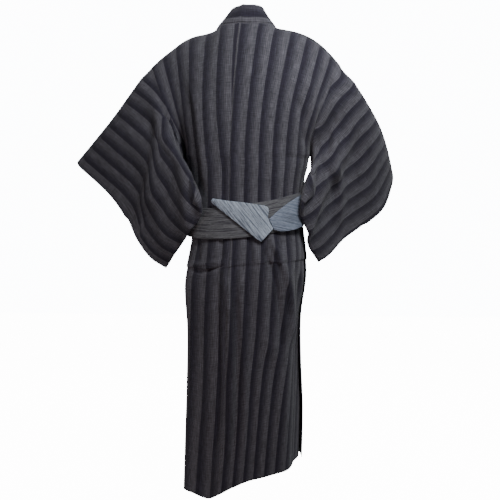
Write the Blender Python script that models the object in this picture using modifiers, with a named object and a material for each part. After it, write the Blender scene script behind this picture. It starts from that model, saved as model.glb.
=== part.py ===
"""A man's cotton yukata robe as it hangs when worn, with its sash tied at the back.

Metres, +Z up. The front of the robe faces -Y and the wearer's left is +X. The origin lies between the
shoulders, at the height where the neck seam crosses them. Cloth is worked out from flat measures: how far
across a panel a point lies, and how far it is down the cloth from the shoulder fold.
"""

import math

import bpy
import numpy as np

# Driving dimensions
WALL = 0.0016
COLLAR_WALL = 0.0026
COVER_WALL = 0.0012
SASH_WALL = 0.0042
KNOT_WALL = 0.0056
SEAM_GAP = 0.0003
BACK_WIDTH = 0.30
FRONT_WIDTH = 0.25
OKUMI_WIDTH = 0.155
NECK_HALF = 0.09
NECK_LENGTH = 0.115
SLEEVE_DEPTH = 0.49
ARMHOLE_SHARE = 0.80
CUFF_SHARE = 0.56
COLLAR_WIDTH = 0.055
COVER_END = 0.36
ARMPIT_DROP = 0.40
ARMPIT_HEIGHT = -0.36
HEM_HEIGHT = -1.30
HEM_DROP = 1.34
OKUMI_DROP = 0.25
COLLAR_END_DROP = 0.605
LAYER_STEP = 0.0036
TUCK_DROP = 0.715
TUCK_STEP = 0.0030
TUCK_BLEND = 0.007
ROUNDNESS = 2.3
SOFT_CONTACT = 0.05
COLLAR_TILT = -0.20
LEFT = 1.0
RIGHT = -1.0

# Cross sections of the hollow body by height. seam is the place of the back seam, left_side and right_side
# are the side seams, all as lengths along the section from its rearmost point.
BODY = (
    ("height", "half_width", "back", "front", "middle", "seam", "left_side", "right_side"),
    (-1.36, 0.166, 0.130, 0.124, 0.016, 0.046, 0.300, -0.254),
    (-1.15, 0.165, 0.130, 0.124, 0.010, 0.036, 0.298, -0.260),
    (-1.00, 0.161, 0.131, 0.124, 0.008, 0.027, 0.296, -0.260),
    (-0.85, 0.161, 0.135, 0.126, 0.006, 0.026, 0.300, -0.262),
    (-0.72, 0.173, 0.138, 0.126, 0.004, 0.022, 0.312, -0.268),
    (-0.60, 0.160, 0.121, 0.114, -0.003, 0.026, 0.278, -0.242),
    (-0.50, 0.156, 0.110, 0.104, -0.002, 0.032, 0.260, -0.222),
    (-0.43, 0.164, 0.112, 0.108, -0.004, 0.032, 0.262, -0.227),
    (-0.39, 0.172, 0.113, 0.112, -0.006, 0.032, 0.265, -0.235),
    (-0.36, 0.177, 0.113, 0.115, -0.006, 0.033, 0.268, -0.240),
)
# Height of the hem round the body, by angle from the back, towards the wearer's left.
HEM = (
    ("angle", "height"),
    (-180, -1.236),
    (-135, -1.222),
    (-90, -1.226),
    (-65, -1.242),
    (-24, -1.267),
    (-6, -1.282),
    (10, -1.312),
    (22, -1.328),
    (45, -1.318),
    (90, -1.300),
    (135, -1.268),
    (180, -1.236),
)
# The shoulder fold of each half from the middle of the neck to the sleeve seam.
SHOULDER = {
    LEFT: (
        ("across", "x", "y", "z"),
        (0.000, 0.006, 0.000, 0.055),
        (0.050, 0.052, 0.000, 0.041),
        (0.075, 0.073, 0.000, 0.025),
        (0.090, 0.0850, 0.000, 0.010),
        (0.115, 0.1130, 0.000, 0.000),
        (0.148, 0.1485, 0.000, -0.006),
        (0.184, 0.1810, 0.000, -0.018),
        (0.228, 0.2175, 0.000, -0.042),
        (0.275, 0.2580, -0.005, -0.070),
        (0.300, 0.2780, -0.008, -0.087),
    ),
    RIGHT: (
        ("across", "x", "y", "z"),
        (0.000, 0.006, 0.000, 0.055),
        (0.050, -0.050, 0.000, 0.041),
        (0.075, -0.0740, 0.000, 0.026),
        (0.090, -0.0880, 0.000, 0.012),
        (0.115, -0.1150, 0.000, 0.004),
        (0.146, -0.1490, 0.000, -0.004),
        (0.190, -0.1920, 0.000, -0.023),
        (0.222, -0.2180, 0.000, -0.042),
        (0.259, -0.2440, 0.000, -0.068),
        (0.300, -0.2700, -0.006, -0.098),
    ),
}
# The armhole, from the shoulder fold (0) to the bottom inner corner of the sleeve (1). half_gap is half the
# distance between its back and front edges.
ARMHOLE = {
    LEFT: (
        ("down", "x", "y", "z", "half_gap"),
        (0.00, 0.278, -0.008, -0.087, 0.000),
        (0.02, 0.276, -0.008, -0.092, 0.019),
        (0.07, 0.269, -0.006, -0.109, 0.034),
        (0.20, 0.246, -0.004, -0.168, 0.046),
        (0.40, 0.216, -0.004, -0.240, 0.050),
        (0.60, 0.190, -0.012, -0.305, 0.036),
        (0.80, 0.172, -0.030, -0.360, 0.003),
        (1.00, 0.184, -0.020, -0.465, 0.003),
    ),
    RIGHT: (
        ("down", "x", "y", "z", "half_gap"),
        (0.00, -0.270, -0.006, -0.098, 0.000),
        (0.02, -0.269, -0.006, -0.103, 0.019),
        (0.07, -0.265, -0.004, -0.120, 0.034),
        (0.20, -0.248, 0.000, -0.172, 0.046),
        (0.40, -0.222, 0.004, -0.240, 0.050),
        (0.60, -0.200, 0.004, -0.302, 0.036),
        (0.80, -0.186, 0.000, -0.360, 0.003),
        (1.00, -0.192, 0.000, -0.462, 0.003),
    ),
}
# Top fold of each sleeve from the armhole (0) to the cuff (1), and the half thickness of the arm in it.
SLEEVE_TOP = {
    LEFT: (
        ("out", "x", "y", "z", "arm"),
        (0.00, 0.278, -0.008, -0.087, 0.050),
        (0.25, 0.336, -0.022, -0.154, 0.046),
        (0.50, 0.404, -0.040, -0.232, 0.042),
        (0.75, 0.465, -0.060, -0.294, 0.038),
        (1.00, 0.529, -0.080, -0.358, 0.034),
    ),
    RIGHT: (
        ("out", "x", "y", "z", "arm"),
        (0.00, -0.270, -0.006, -0.098, 0.050),
        (0.25, -0.310, -0.046, -0.178, 0.046),
        (0.50, -0.340, -0.104, -0.250, 0.042),
        (0.75, -0.357, -0.176, -0.318, 0.036),
        (1.00, -0.364, -0.258, -0.372, 0.030),
    ),
}
# Bottom edge of each sleeve from its hidden inner corner (0) to the cuff's lower corner (1).
SLEEVE_BOTTOM = {
    LEFT: (
        ("out", "x", "y", "z"),
        (0.00, 0.184, -0.020, -0.465),
        (0.15, 0.176, 0.052, -0.482),
        (0.27, 0.138, 0.108, -0.498),
        (0.35, 0.106, 0.130, -0.516),
        (0.45, 0.118, 0.116, -0.548),
        (0.70, 0.174, 0.064, -0.612),
        (1.00, 0.236, 0.006, -0.682),
    ),
    RIGHT: (
        ("out", "x", "y", "z"),
        (0.00, -0.192, 0.000, -0.462),
        (0.15, -0.202, 0.046, -0.476),
        (0.27, -0.188, 0.086, -0.492),
        (0.36, -0.176, 0.092, -0.510),
        (0.50, -0.176, 0.066, -0.548),
        (0.75, -0.182, 0.008, -0.616),
        (1.00, -0.205, -0.044, -0.664),
    ),
}
# How soon the bend of the bottom edge fades out up each sleeve: a higher power keeps it lower down.
BOTTOM_BEND = {LEFT: 0.8, RIGHT: 1.3}
# Cuff edge of each sleeve from the top fold (0) to the lower corner (1).
CUFF = {
    LEFT: (
        ("down", "x", "y", "z"),
        (0.00, 0.529, -0.080, -0.358),
        (0.22, 0.461, -0.062, -0.418),
        (0.42, 0.402, -0.040, -0.480),
        (0.60, 0.357, -0.020, -0.542),
        (0.76, 0.326, -0.008, -0.602),
        (0.90, 0.280, 0.002, -0.656),
        (1.00, 0.236, 0.006, -0.682),
    ),
    RIGHT: (
        ("down", "x", "y", "z"),
        (0.00, -0.364, -0.258, -0.372),
        (0.22, -0.391, -0.196, -0.436),
        (0.42, -0.380, -0.160, -0.506),
        (0.60, -0.324, -0.126, -0.558),
        (0.76, -0.274, -0.090, -0.598),
        (0.90, -0.232, -0.058, -0.646),
        (1.00, -0.205, -0.044, -0.664),
    ),
}
# Folds of the skirt: where each starts and ends along the section and down the cloth, how far it stands out
# (or in) and how wide it is.
SKIRT_FOLDS = (
    ("from_along", "to_along", "from_drop", "to_drop", "rise", "width"),
    (0.026, 0.040, 0.65, 1.40, 0.0080, 0.018),
    (0.100, 0.085, 0.66, 1.40, -0.0070, 0.024),
    (-0.050, -0.100, 0.65, 1.00, 0.0080, 0.018),
    (-0.075, -0.055, 0.68, 1.40, -0.0070, 0.026),
    (-0.145, -0.150, 0.65, 1.40, 0.0080, 0.026),
    (0.165, 0.160, 0.66, 1.40, 0.0080, 0.026),
    (0.235, 0.230, 0.65, 1.40, -0.0070, 0.024),
    (-0.215, -0.210, 0.68, 1.40, -0.0060, 0.022),
    (0.330, 0.300, 0.66, 1.40, 0.0090, 0.028),
    (0.410, 0.390, 0.66, 1.40, -0.0080, 0.028),
    (-0.330, -0.300, 0.66, 1.40, 0.0090, 0.028),
    (-0.400, -0.420, 0.66, 1.40, -0.0080, 0.026),
)
# Folds of the sleeves: where each starts and ends out along the sleeve (0 armhole, 1 cuff) and down it
# (0 top fold, 1 bottom edge), how far it stands out (or in) and how wide it is, as a share of the sleeve.
SLEEVE_FOLDS = {
    LEFT: (
        ("from_out", "to_out", "from_down", "to_down", "rise", "width"),
        (0.02, 0.58, 0.10, 1.05, 0.0110, 0.070),
        (0.22, 0.46, 0.10, 1.05, -0.0060, 0.070),
        (0.40, 0.86, 0.15, 1.05, 0.0050, 0.080),
    ),
    RIGHT: (
        ("from_out", "to_out", "from_down", "to_down", "rise", "width"),
        (0.16, 0.66, 0.10, 1.05, 0.0120, 0.070),
        (0.30, 0.78, 0.20, 1.05, -0.0060, 0.080),
        (0.02, 0.50, 0.25, 1.05, -0.0070, 0.060),
    ),
}
# Upper and lower edge of the sash round the waist, by angle from the back towards the wearer's left.
SASH = (
    ("angle", "top", "bottom"),
    (-180, -0.478, -0.572),
    (-135, -0.466, -0.560),
    (-90, -0.458, -0.552),
    (-60, -0.472, -0.564),
    (-25, -0.492, -0.584),
    (0, -0.503, -0.596),
    (35, -0.511, -0.598),
    (70, -0.510, -0.590),
    (90, -0.504, -0.586),
    (135, -0.492, -0.584),
    (180, -0.478, -0.572),
)
# The knot's tongue and tail: matching points of their lower and upper edges, as lengths along the sash from
# its rearmost point and as heights.
TONGUE = (
    ("share", "low_along", "low_height", "high_along", "high_height"),
    (0.00, 0.076, -0.4930, 0.072, -0.4860),
    (0.30, 0.036, -0.5270, 0.026, -0.4925),
    (0.60, -0.004, -0.5610, -0.034, -0.5010),
    (0.80, -0.033, -0.5860, -0.076, -0.5140),
    (0.91, -0.047, -0.5980, -0.075, -0.5410),
    (1.00, -0.059, -0.6060, -0.088, -0.5700),
)
TAIL = (
    ("share", "low_along", "low_height", "high_along", "high_height"),
    (0.00, -0.0905, -0.5720, -0.078, -0.5440),
    (0.40, -0.114, -0.5770, -0.110, -0.5130),
    (0.70, -0.146, -0.5720, -0.142, -0.4890),
    (1.00, -0.182, -0.5600, -0.184, -0.4660),
)
# How the collar leans where it stands round the neck, by length along its seam from the back seam.
COLLAR_LEAN = (
    ("along", "inward", "back", "up", "lies_flat"),
    (0.00, 0.00, -0.06, 1.00, 0.0),
    (0.05, 0.38, -0.08, 0.88, 0.0),
    (0.10, 0.66, -0.12, 0.74, 0.0),
    (0.14, 0.80, -0.25, 0.60, 0.30),
    (0.18, 0.92, -0.25, 0.35, 0.75),
    (0.23, 0.99, -0.20, 0.10, 1.0),
    (1.00, 0.99, -0.10, 0.10, 1.0),
)

# How finely the cloth is divided
NECK_COLUMNS = 4
SHOULDER_COLUMNS = 8
SEAM_COLUMN = 0.004
UPPER_ROWS = 10
SKIRT_ROWS = 18
OKUMI_COLUMNS = 5
SLEEVE_OUT = 16
SLEEVE_DOWN = 15
COLLAR_STEPS = 74
SASH_STEPS = 60

YUKATA_COLOUR = (0.035, 0.035, 0.045, 1.0)
SASH_COLOUR = (0.20, 0.23, 0.28, 1.0)


def column(table, name):
    """One named column of a table as an array."""
    place = table[0].index(name)
    return np.array([row[place] for row in table[1:]], float)


def read(table, name, at):
    """A smooth value of a table's column, read at places along its first column."""
    keys = column(table, table[0][0])
    values = column(table, name)
    slopes = np.gradient(values, keys)
    at = np.clip(np.asarray(at, float), keys[0], keys[-1])
    cell = np.clip(np.searchsorted(keys, at, side="right") - 1, 0, len(keys) - 2)
    width = keys[cell + 1] - keys[cell]
    t = (at - keys[cell]) / width
    start = values[cell] * (1 + 2 * t) * (1 - t) ** 2 + slopes[cell] * width * t * (1 - t) ** 2
    end = values[cell + 1] * (3 - 2 * t) * t**2 - slopes[cell + 1] * width * t**2 * (1 - t)
    return start + end


def point(table, at):
    """The smooth 3D point of a table with x, y and z columns."""
    return np.stack([read(table, name, at) for name in ("x", "y", "z")], axis=-1)


def ease(t):
    """0 below 0, 1 above 1, and a smooth step between."""
    t = np.clip(t, 0.0, 1.0)
    return t * t * (3 - 2 * t)


def section_height(drop):
    """Mean height of the cloth at this distance down from the shoulder fold, below the armpit."""
    share = (drop - ARMPIT_DROP) / (HEM_DROP - ARMPIT_DROP)
    return ARMPIT_HEIGHT + share * (HEM_HEIGHT - ARMPIT_HEIGHT)


def section_angle(height, along):
    """Angle from the back of a point this far along the section, towards the wearer's left, and the girth."""
    angles = np.linspace(-2 * math.pi, 2 * math.pi, 721)
    outline = section_point(height, angles, 0.0)
    steps = np.linalg.norm(np.diff(outline, axis=0), axis=1)
    lengths = np.concatenate([[0.0], np.cumsum(steps)])
    lengths -= lengths[360]
    return np.interp(along, lengths, angles), lengths[540] - lengths[180]


def section_point(height, angle, outset):
    """Points (x, y) of the body's section at these angles, moved out by outset."""
    half = read(BODY, "half_width", height) + outset
    depth = np.where(np.cos(angle) > 0, read(BODY, "back", height), read(BODY, "front", height)) + outset
    power = 2 / ROUNDNESS
    x = read(BODY, "middle", height) + half * np.sign(np.sin(angle)) * np.abs(np.sin(angle)) ** power
    y = depth * np.sign(np.cos(angle)) * np.abs(np.cos(angle)) ** power
    return np.stack([x, y], axis=-1)


def skirt_fold(along, drop, girth):
    """How far the folds of the skirt stand out at this place."""
    around = (along + girth / 2) % girth - girth / 2
    rise = np.zeros_like(around)
    for start, end, top, bottom, height, width in SKIRT_FOLDS[1:]:
        share = (drop - top) / (bottom - top)
        centre = start + (end - start) * share
        fade = ease(share / 0.15) * ease((1.06 - share) / 0.15)
        rise += height * fade * np.exp(-(((around - centre) / width) ** 2))
    return rise


def lower_cloth(drop, along, outset):
    """Cloth below the armpit, at these lengths along the section."""
    height = float(section_height(drop))
    angle, girth = section_angle(height, along)
    tuck = TUCK_STEP * (0.5 - ease((drop - TUCK_DROP) / TUCK_BLEND + 0.5)) * ease((drop - 0.62) / 0.05)
    fold = skirt_fold(along, drop, girth)
    flat = section_point(height, angle, outset + tuck + fold)
    hem = read(HEM, "height", np.degrees((angle + math.pi) % (2 * math.pi) - math.pi))
    slope = ease((drop - ARMPIT_DROP) / (HEM_DROP - ARMPIT_DROP)) * (hem - HEM_HEIGHT)
    return np.column_stack([flat, height + slope])


def back_along(side, height, across):
    """Length along the section of a point of the back panel, gathered towards the side seam."""
    seam = read(BODY, "seam", height)
    edge = read(BODY, "left_side" if side == LEFT else "right_side", height)
    gathered = BACK_WIDTH - abs(edge - seam)
    return seam + side * (across - gathered * (across / BACK_WIDTH) ** 3)


def front_along(side, height, across):
    """Length along the section of a point of the front, across from the side seam."""
    edge = read(BODY, "left_side" if side == LEFT else "right_side", height)
    return edge + side * across


def front_outset(side, drop, across):
    """The left front lies over the right one, and its free edge stands off towards the hem."""
    if side == LEFT:
        loose = 0.003 + 0.005 * ease((drop - 0.80) / 0.40)
        return LAYER_STEP * ease(across / 0.06) + loose * ease((across - 0.36) / 0.045)
    return -LAYER_STEP * ease(across / 0.06) - 0.003 * ease((across - 0.27) / 0.10)


def armhole_edge(side, down, face):
    """Edge of the armhole this share of the way down: face is 1 for the back, -1 for the front."""
    edge = point(ARMHOLE[side], down)
    edge[..., 1] += face * read(ARMHOLE[side], "half_gap", down)
    return edge


def upper_cloth(side, drop, across, along, face, outset):
    """Cloth between the armpit and the shoulder fold; across is measured from the middle of the neck."""
    rise = 1 - drop / ARMPIT_DROP
    low = lower_cloth(ARMPIT_DROP, along, outset)
    fold = point(SHOULDER[side], np.maximum(across, 0.0))
    fold[:, 0] += side * np.minimum(across, 0.0)
    power = 2.7 - 0.6 * np.clip(across / BACK_WIDTH, 0, 1)
    turn = np.maximum(1 - rise**power, 0.0) ** (1 / power)
    x = low[:, 0] + (fold[:, 0] - low[:, 0]) * rise**1.1
    y = low[:, 1] * turn + fold[:, 1] * (1 - turn)
    z = low[:, 2] + (fold[:, 2] - low[:, 2]) * rise
    return np.column_stack([x, y, z])


def neck_drop(across):
    """How far the back neckline lies below the shoulder fold."""
    return 0.036 * np.maximum(1 - (across / NECK_HALF) ** 2, 0.0)


def back_cloth(side, drop, across):
    """A row of the back panel. Near the neck the row bends down to the neckline."""
    across = np.asarray(across, float)
    if drop > ARMPIT_DROP:
        return lower_cloth(drop, back_along(side, section_height(drop), across), 0.0)
    rows = []
    for place in across:
        room = (1 - drop / ARMPIT_DROP) * float(neck_drop(place))
        rows.append(upper_back_point(side, drop + room, place, drop))
    return np.array(rows)


def upper_back_point(side, drop, across, edge_drop):
    """One point of the back above the armpit, drawn to the armhole edge near it."""
    here = np.array([across])
    along = back_along(side, ARMPIT_HEIGHT, here)
    end = np.array([BACK_WIDTH])
    outer = upper_cloth(side, edge_drop, end, back_along(side, ARMPIT_HEIGHT, end), 1, 0.0)[0]
    shift = armhole_edge(side, edge_drop / ARMPIT_DROP * ARMHOLE_SHARE, 1) - outer
    cloth = upper_cloth(side, drop, here, along, 1, 0.0)[0]
    return cloth + shift * (across / BACK_WIDTH) ** 2


def front_cloth(side, drop, across):
    """A row of the front, across from the side seam towards and past the middle."""
    across = np.asarray(across, float)
    outset = front_outset(side, drop, across)
    if drop > ARMPIT_DROP:
        return lower_cloth(drop, front_along(side, section_height(drop), across), outset)
    along = front_along(side, ARMPIT_HEIGHT, across)
    cloth = upper_cloth(side, drop, BACK_WIDTH - across, along, -1, outset)
    end = np.zeros(1)
    outer = upper_cloth(side, drop, BACK_WIDTH - end, front_along(side, ARMPIT_HEIGHT, end), -1, 0.0)[0]
    shift = armhole_edge(side, drop / ARMPIT_DROP * ARMHOLE_SHARE, -1) - outer
    weight = np.clip(1 - across / FRONT_WIDTH, 0, 1) ** 2
    cloth = cloth + shift * weight[:, None]
    common = chest(cloth[:, 0], cloth[:, 2]) - outset
    settled = ease((ARMPIT_DROP - drop) / 0.03) * ease(drop / 0.03)
    cloth[:, 1] += (common - cloth[:, 1]) * settled
    return cloth


def chest(x, z):
    """Place along y of the chest's surface, the same for both fronts, so that they lie on each other."""
    side_x = np.where(x > 0, 1.0, -1.0)
    depth = np.zeros_like(x)
    for i, (place, height, sign) in enumerate(zip(x, z, side_x)):
        hole = ARMHOLE[sign]
        downs = np.linspace(0, ARMHOLE_SHARE, 41)
        heights = read(hole, "z", downs)
        down = np.interp(-height, -heights, downs)
        edge_x = abs(read(hole, "x", down))
        edge_y = read(hole, "y", down) - read(hole, "half_gap", down)
        crest = read(SHOULDER[sign], "z", np.interp(abs(place), *shoulder_keys(sign)))
        rise = np.clip((height - ARMPIT_HEIGHT) / (crest - ARMPIT_HEIGHT), 0, 1)
        middle = -read(BODY, "front", ARMPIT_HEIGHT) * math.sqrt(1 - rise**2)
        if height > heights[0]:
            edge_x = abs(read(SHOULDER[sign], "x", BACK_WIDTH))
            edge_y = read(SHOULDER[sign], "y", BACK_WIDTH)
        share = min(abs(place) / edge_x, 1.0)
        depth[i] = edge_y + (middle - edge_y) * (1 - share**ROUNDNESS) ** (1 / ROUNDNESS)
    return depth


def shoulder_keys(side):
    """Distances from the middle of the body along the shoulder fold, and the matching cloth measures."""
    return np.abs(column(SHOULDER[side], "x")), column(SHOULDER[side], "across")


def collar_across(drop):
    """Where the collar seam crosses the front, from the side seam. Below the collar it is the free edge."""
    neck = BACK_WIDTH - NECK_HALF
    upper = neck + (FRONT_WIDTH - neck) * ease(drop / OKUMI_DROP)
    slant = np.clip((drop - OKUMI_DROP) / (COLLAR_END_DROP - OKUMI_DROP), 0, 1)
    step = COLLAR_WIDTH * (drop > COLLAR_END_DROP)
    return upper + (OKUMI_WIDTH - COLLAR_WIDTH) * slant + step


def drops(top, bottom):
    """Distances down the cloth for its rows, closer at the shoulder and at the tuck."""
    share = np.linspace(0, 1, UPPER_ROWS + 1)
    upper = ARMPIT_DROP * share**1.6
    lower = np.linspace(ARMPIT_DROP, HEM_DROP, SKIRT_ROWS + 1)[1:]
    lower = lower[np.abs(lower - TUCK_DROP) > TUCK_BLEND * 2]
    tuck = TUCK_DROP + TUCK_BLEND * np.array([-0.5, 0.5])
    every = np.sort(np.concatenate([upper, lower, tuck]))
    return every[(every > top + 1e-6) & (every < bottom - 1e-6)]


def pull_in(row, other, gap):
    """Moves the first point of a row away from its seam, along the row."""
    step = other - row
    return row + step / np.linalg.norm(step) * gap


def add_strip(faces, first, second):
    """Faces between two rows of point numbers of equal length."""
    for i in range(len(first) - 1):
        faces.append((first[i], first[i + 1], second[i + 1], second[i]))


def material(name, colour, roughness):
    """A plain finish with the piece's main colour."""
    made = bpy.data.materials.new(name)
    made.use_nodes = True
    shader = made.node_tree.nodes["Principled BSDF"]
    shader.inputs["Base Color"].default_value = colour
    shader.inputs["Roughness"].default_value = roughness
    shader.inputs["Metallic"].default_value = 0.0
    return made


def add_cloth(collection, name, points, faces, wall, finish):
    """Makes one piece: a sheet through the points, with Solidify for its wall."""
    mesh = bpy.data.meshes.new(name)
    mesh.from_pydata([tuple(map(float, p)) for p in points], [], faces)
    mesh.validate()
    mesh.shade_smooth()
    mesh.materials.append(finish)
    piece = bpy.data.objects.new(name, mesh)
    collection.objects.link(piece)
    shell = piece.modifiers.new("wall", "SOLIDIFY")
    shell.thickness = wall
    shell.offset = 0.0
    return piece


def add_body(collection, side, finish):
    """Back and front of one half in one length of cloth, joined along the shoulder fold."""
    neck = np.linspace(0.0, NECK_HALF, NECK_COLUMNS)
    neck = np.insert(neck, 1, SEAM_COLUMN)
    shoulder = np.linspace(NECK_HALF, BACK_WIDTH, SHOULDER_COLUMNS)
    shoulder = np.insert(shoulder, -1, BACK_WIDTH - SEAM_COLUMN)
    across = np.concatenate([neck, shoulder[1:]])
    back_drops = np.concatenate([[0.0], drops(0.0, HEM_DROP), [HEM_DROP]])
    points = []
    faces = []
    rows = []
    for drop in back_drops:
        row = back_cloth(side, drop, across)
        row[0] = pull_in(row[0], row[1], SEAM_GAP / 2)
        row[-1] = pull_in(row[-1], row[-2], SEAM_GAP / 2)
        rows.append(list(range(len(points), len(points) + len(row))))
        points.extend(row)
    for upper, lower in zip(rows, rows[1:]):
        add_strip(faces, upper, lower)
    last = rows[0][len(neck) - 1 :]
    shares = (BACK_WIDTH - shoulder) / (BACK_WIDTH - NECK_HALF)
    for drop in back_drops[1:]:
        inner = min(float(collar_across(drop)), FRONT_WIDTH)
        row = front_cloth(side, drop, shares * inner)
        row[0] = pull_in(row[0], row[1], SEAM_GAP / 2)
        row[-1] = pull_in(row[-1], row[-2], SEAM_GAP / 2)
        numbers = list(range(len(points), len(points) + len(row)))
        points.extend(row)
        add_strip(faces, numbers, last)
        last = numbers
    name = "body_left" if side == LEFT else "body_right"
    add_cloth(collection, name, points, faces, WALL, finish)


def add_okumi(collection, side, finish):
    """The overlap panel: a long strip that tapers to its top at the collar."""
    points = []
    faces = []
    last = None
    top = OKUMI_DROP + 0.014
    step = [COLLAR_END_DROP - SEAM_GAP, COLLAR_END_DROP + SEAM_GAP]
    rows = np.sort(np.concatenate([[top], drops(top, HEM_DROP), step, [HEM_DROP]]))
    for drop in rows:
        across = np.linspace(FRONT_WIDTH, float(collar_across(drop)), OKUMI_COLUMNS + 1)
        row = front_cloth(side, drop, across)
        row[0] = pull_in(row[0], row[1], SEAM_GAP / 2)
        row[-1] = pull_in(row[-1], row[-2], SEAM_GAP / 2)
        numbers = list(range(len(points), len(points) + len(row)))
        points.extend(row)
        if last:
            add_strip(faces, last, numbers)
        last = numbers
    name = "okumi_left" if side == LEFT else "okumi_right"
    add_cloth(collection, name, points, faces, WALL, finish)


def push_clear(points, clearance):
    """Moves points that would lie in the body's section out to its surface."""
    height = np.clip(points[..., 2], -1.3, ARMPIT_HEIGHT)
    middle = read(BODY, "middle", height)
    half = read(BODY, "half_width", height) + clearance
    depth = np.where(points[..., 1] > 0, read(BODY, "back", height), read(BODY, "front", height)) + clearance
    x = points[..., 0] - middle
    y = points[..., 1]
    reach = (np.abs(x / half) ** ROUNDNESS + np.abs(y / depth) ** ROUNDNESS) ** (1 / ROUNDNESS)
    near = ease((ARMPIT_HEIGHT + 0.04 - points[..., 2]) / 0.06)
    inside = 1 / np.maximum(reach, 0.05) - 1
    scale = 1 + (inside + np.sqrt(inside**2 + SOFT_CONTACT**2)) / 2 * near
    moved = points.copy()
    moved[..., 0] = middle + x * scale
    moved[..., 1] = y * scale
    return moved


def sleeve_middle(side, out, down):
    """The sheet midway between the two layers of a sleeve."""
    top = SLEEVE_TOP[side]
    bottom = SLEEVE_BOTTOM[side]
    start = point(ARMHOLE[side], down)
    end = point(CUFF[side], down)
    out = np.asarray(out, float)[..., None]
    flat = start + (end - start) * out
    high = point(top, out[..., 0]) - (point(top, 0.0) + (point(top, 1.0) - point(top, 0.0)) * out)
    low = point(bottom, out[..., 0]) - (point(bottom, 0.0) + (point(bottom, 1.0) - point(bottom, 0.0)) * out)
    share = np.asarray(down, float)[..., None]
    return flat + high * (1 - share) ** 1.5 + low * ease((share - 0.12) / 0.88) ** BOTTOM_BEND[side]


def sleeve_fold(side, out, down):
    """How far the folds of a sleeve stand out of its middle sheet."""
    rise = np.zeros_like(out)
    for from_out, to_out, top, bottom, height, width in SLEEVE_FOLDS[side][1:]:
        share = (down - top) / (bottom - top)
        centre = from_out + (to_out - from_out) * share
        fade = ease(share / 0.3) * ease(out / 0.08)
        rise = rise + height * fade * np.exp(-(((out - centre) / width) ** 2))
    return rise


def sleeve_half_gap(side, out, down):
    """Half the distance between the layers: round over the arm, then nearly closed."""
    arm = read(SLEEVE_TOP[side], "arm", out)
    below = down * SLEEVE_DEPTH / (1.3 * arm)
    round_top = arm * np.sqrt(np.maximum(1 - (1 - np.minimum(below, 1.0)) ** 2, 0.0))
    loose = np.exp(-((np.maximum(below - 1, 0.0) / 2.4) ** 2))
    return round_top * (0.12 + 0.88 * loose) * ease((1.04 - down) / 0.12) + 0.003 * ease(down / 0.1)


def sleeve_layer(side, out, down, face):
    """The back layer (face 1) or the front layer (face -1) of a sleeve."""
    small = 0.004
    middle = sleeve_middle(side, out, down)
    next_out = sleeve_middle(side, np.minimum(out + small, 1.0), down)
    last_out = sleeve_middle(side, np.maximum(out - small, 0.0), down)
    next_down = sleeve_middle(side, out, np.minimum(down + small, 1.0))
    last_down = sleeve_middle(side, out, np.maximum(down - small, 0.0))
    normal = np.cross(next_out - last_out, next_down - last_down) * side
    normal /= np.linalg.norm(normal, axis=-1, keepdims=True)
    away = face * sleeve_half_gap(side, out, down) + sleeve_fold(side, out, down)
    layer = middle + normal * away[..., None]
    edge = armhole_edge(side, down, face)
    edge[..., 0] += side * (0.0013 + 0.0017 * ease((down - 0.1) / 0.6))
    start = 1 - ease(out / 0.14)
    seam = sleeve_layer_start(side, down, face)
    layer = layer + (edge - seam) * start[..., None]
    clearance = (0.014 if face > 0 else 0.009) * ease((out - 0.01) / 0.10)
    return push_clear(layer, clearance)


def sleeve_layer_start(side, down, face):
    """Where the layer would start at the armhole before it is drawn to the seam."""
    small = 0.004
    zero = np.zeros_like(down)
    middle = sleeve_middle(side, zero, down)
    next_out = sleeve_middle(side, zero + small, down)
    next_down = sleeve_middle(side, zero, np.minimum(down + small, 1.0))
    last_down = sleeve_middle(side, zero, np.maximum(down - small, 0.0))
    normal = np.cross(next_out - middle, next_down - last_down) * side
    normal /= np.linalg.norm(normal, axis=-1, keepdims=True)
    return middle + normal * face * sleeve_half_gap(side, zero, down)[..., None]


def add_sleeve(collection, side, finish):
    """A sleeve folded at the top, closed along the bottom, below the cuff opening and below the armhole."""
    down = np.linspace(0, 1, SLEEVE_DOWN + 1) ** 1.25
    out = np.insert(np.linspace(0, 1, SLEEVE_OUT), 1, 0.012)
    grid_out, grid_down = np.meshgrid(out, down, indexing="ij")
    back = sleeve_layer(side, grid_out, grid_down, 1)
    front = sleeve_layer(side, grid_out, grid_down, -1)
    back[:, 0] = (back[:, 0] + front[:, 0]) / 2
    points = []
    faces = []
    last = None
    ends = []
    for i in range(len(out)):
        ring = np.concatenate([back[i, ::-1], front[i, 1:]])
        numbers = list(range(len(points), len(points) + len(ring)))
        points.extend(ring)
        if last:
            add_strip(faces, last + last[:1], numbers + numbers[:1])
        last = numbers
        ends.append(numbers)
    most = len(down) - 1
    for numbers, open_share, turn in ((ends[0], ARMHOLE_SHARE, 1), (ends[-1], CUFF_SHARE, -1)):
        first = int(np.argmin(np.abs(down - open_share)))
        for j in range(first, most):
            closing = (numbers[most - j], numbers[most - j - 1], numbers[most + j + 1], numbers[most + j])
            faces.append(closing[::turn])
    name = "sleeve_left" if side == LEFT else "sleeve_right"
    add_cloth(collection, name, points, faces, WALL, finish)


def collar_seam(along):
    """Side, drop and seam point for a length along the collar from the back seam (wearer's left positive)."""
    side = LEFT if along >= 0 else RIGHT
    length = abs(along)
    if length < NECK_LENGTH:
        across = NECK_HALF * math.sin(length / NECK_LENGTH * math.pi / 2)
        return side, 0.0, back_cloth(side, 0.0, np.array([across]))[0]
    drop = length - NECK_LENGTH
    return side, drop, front_cloth(side, drop, np.array([float(collar_across(drop))]))[0]


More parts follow.
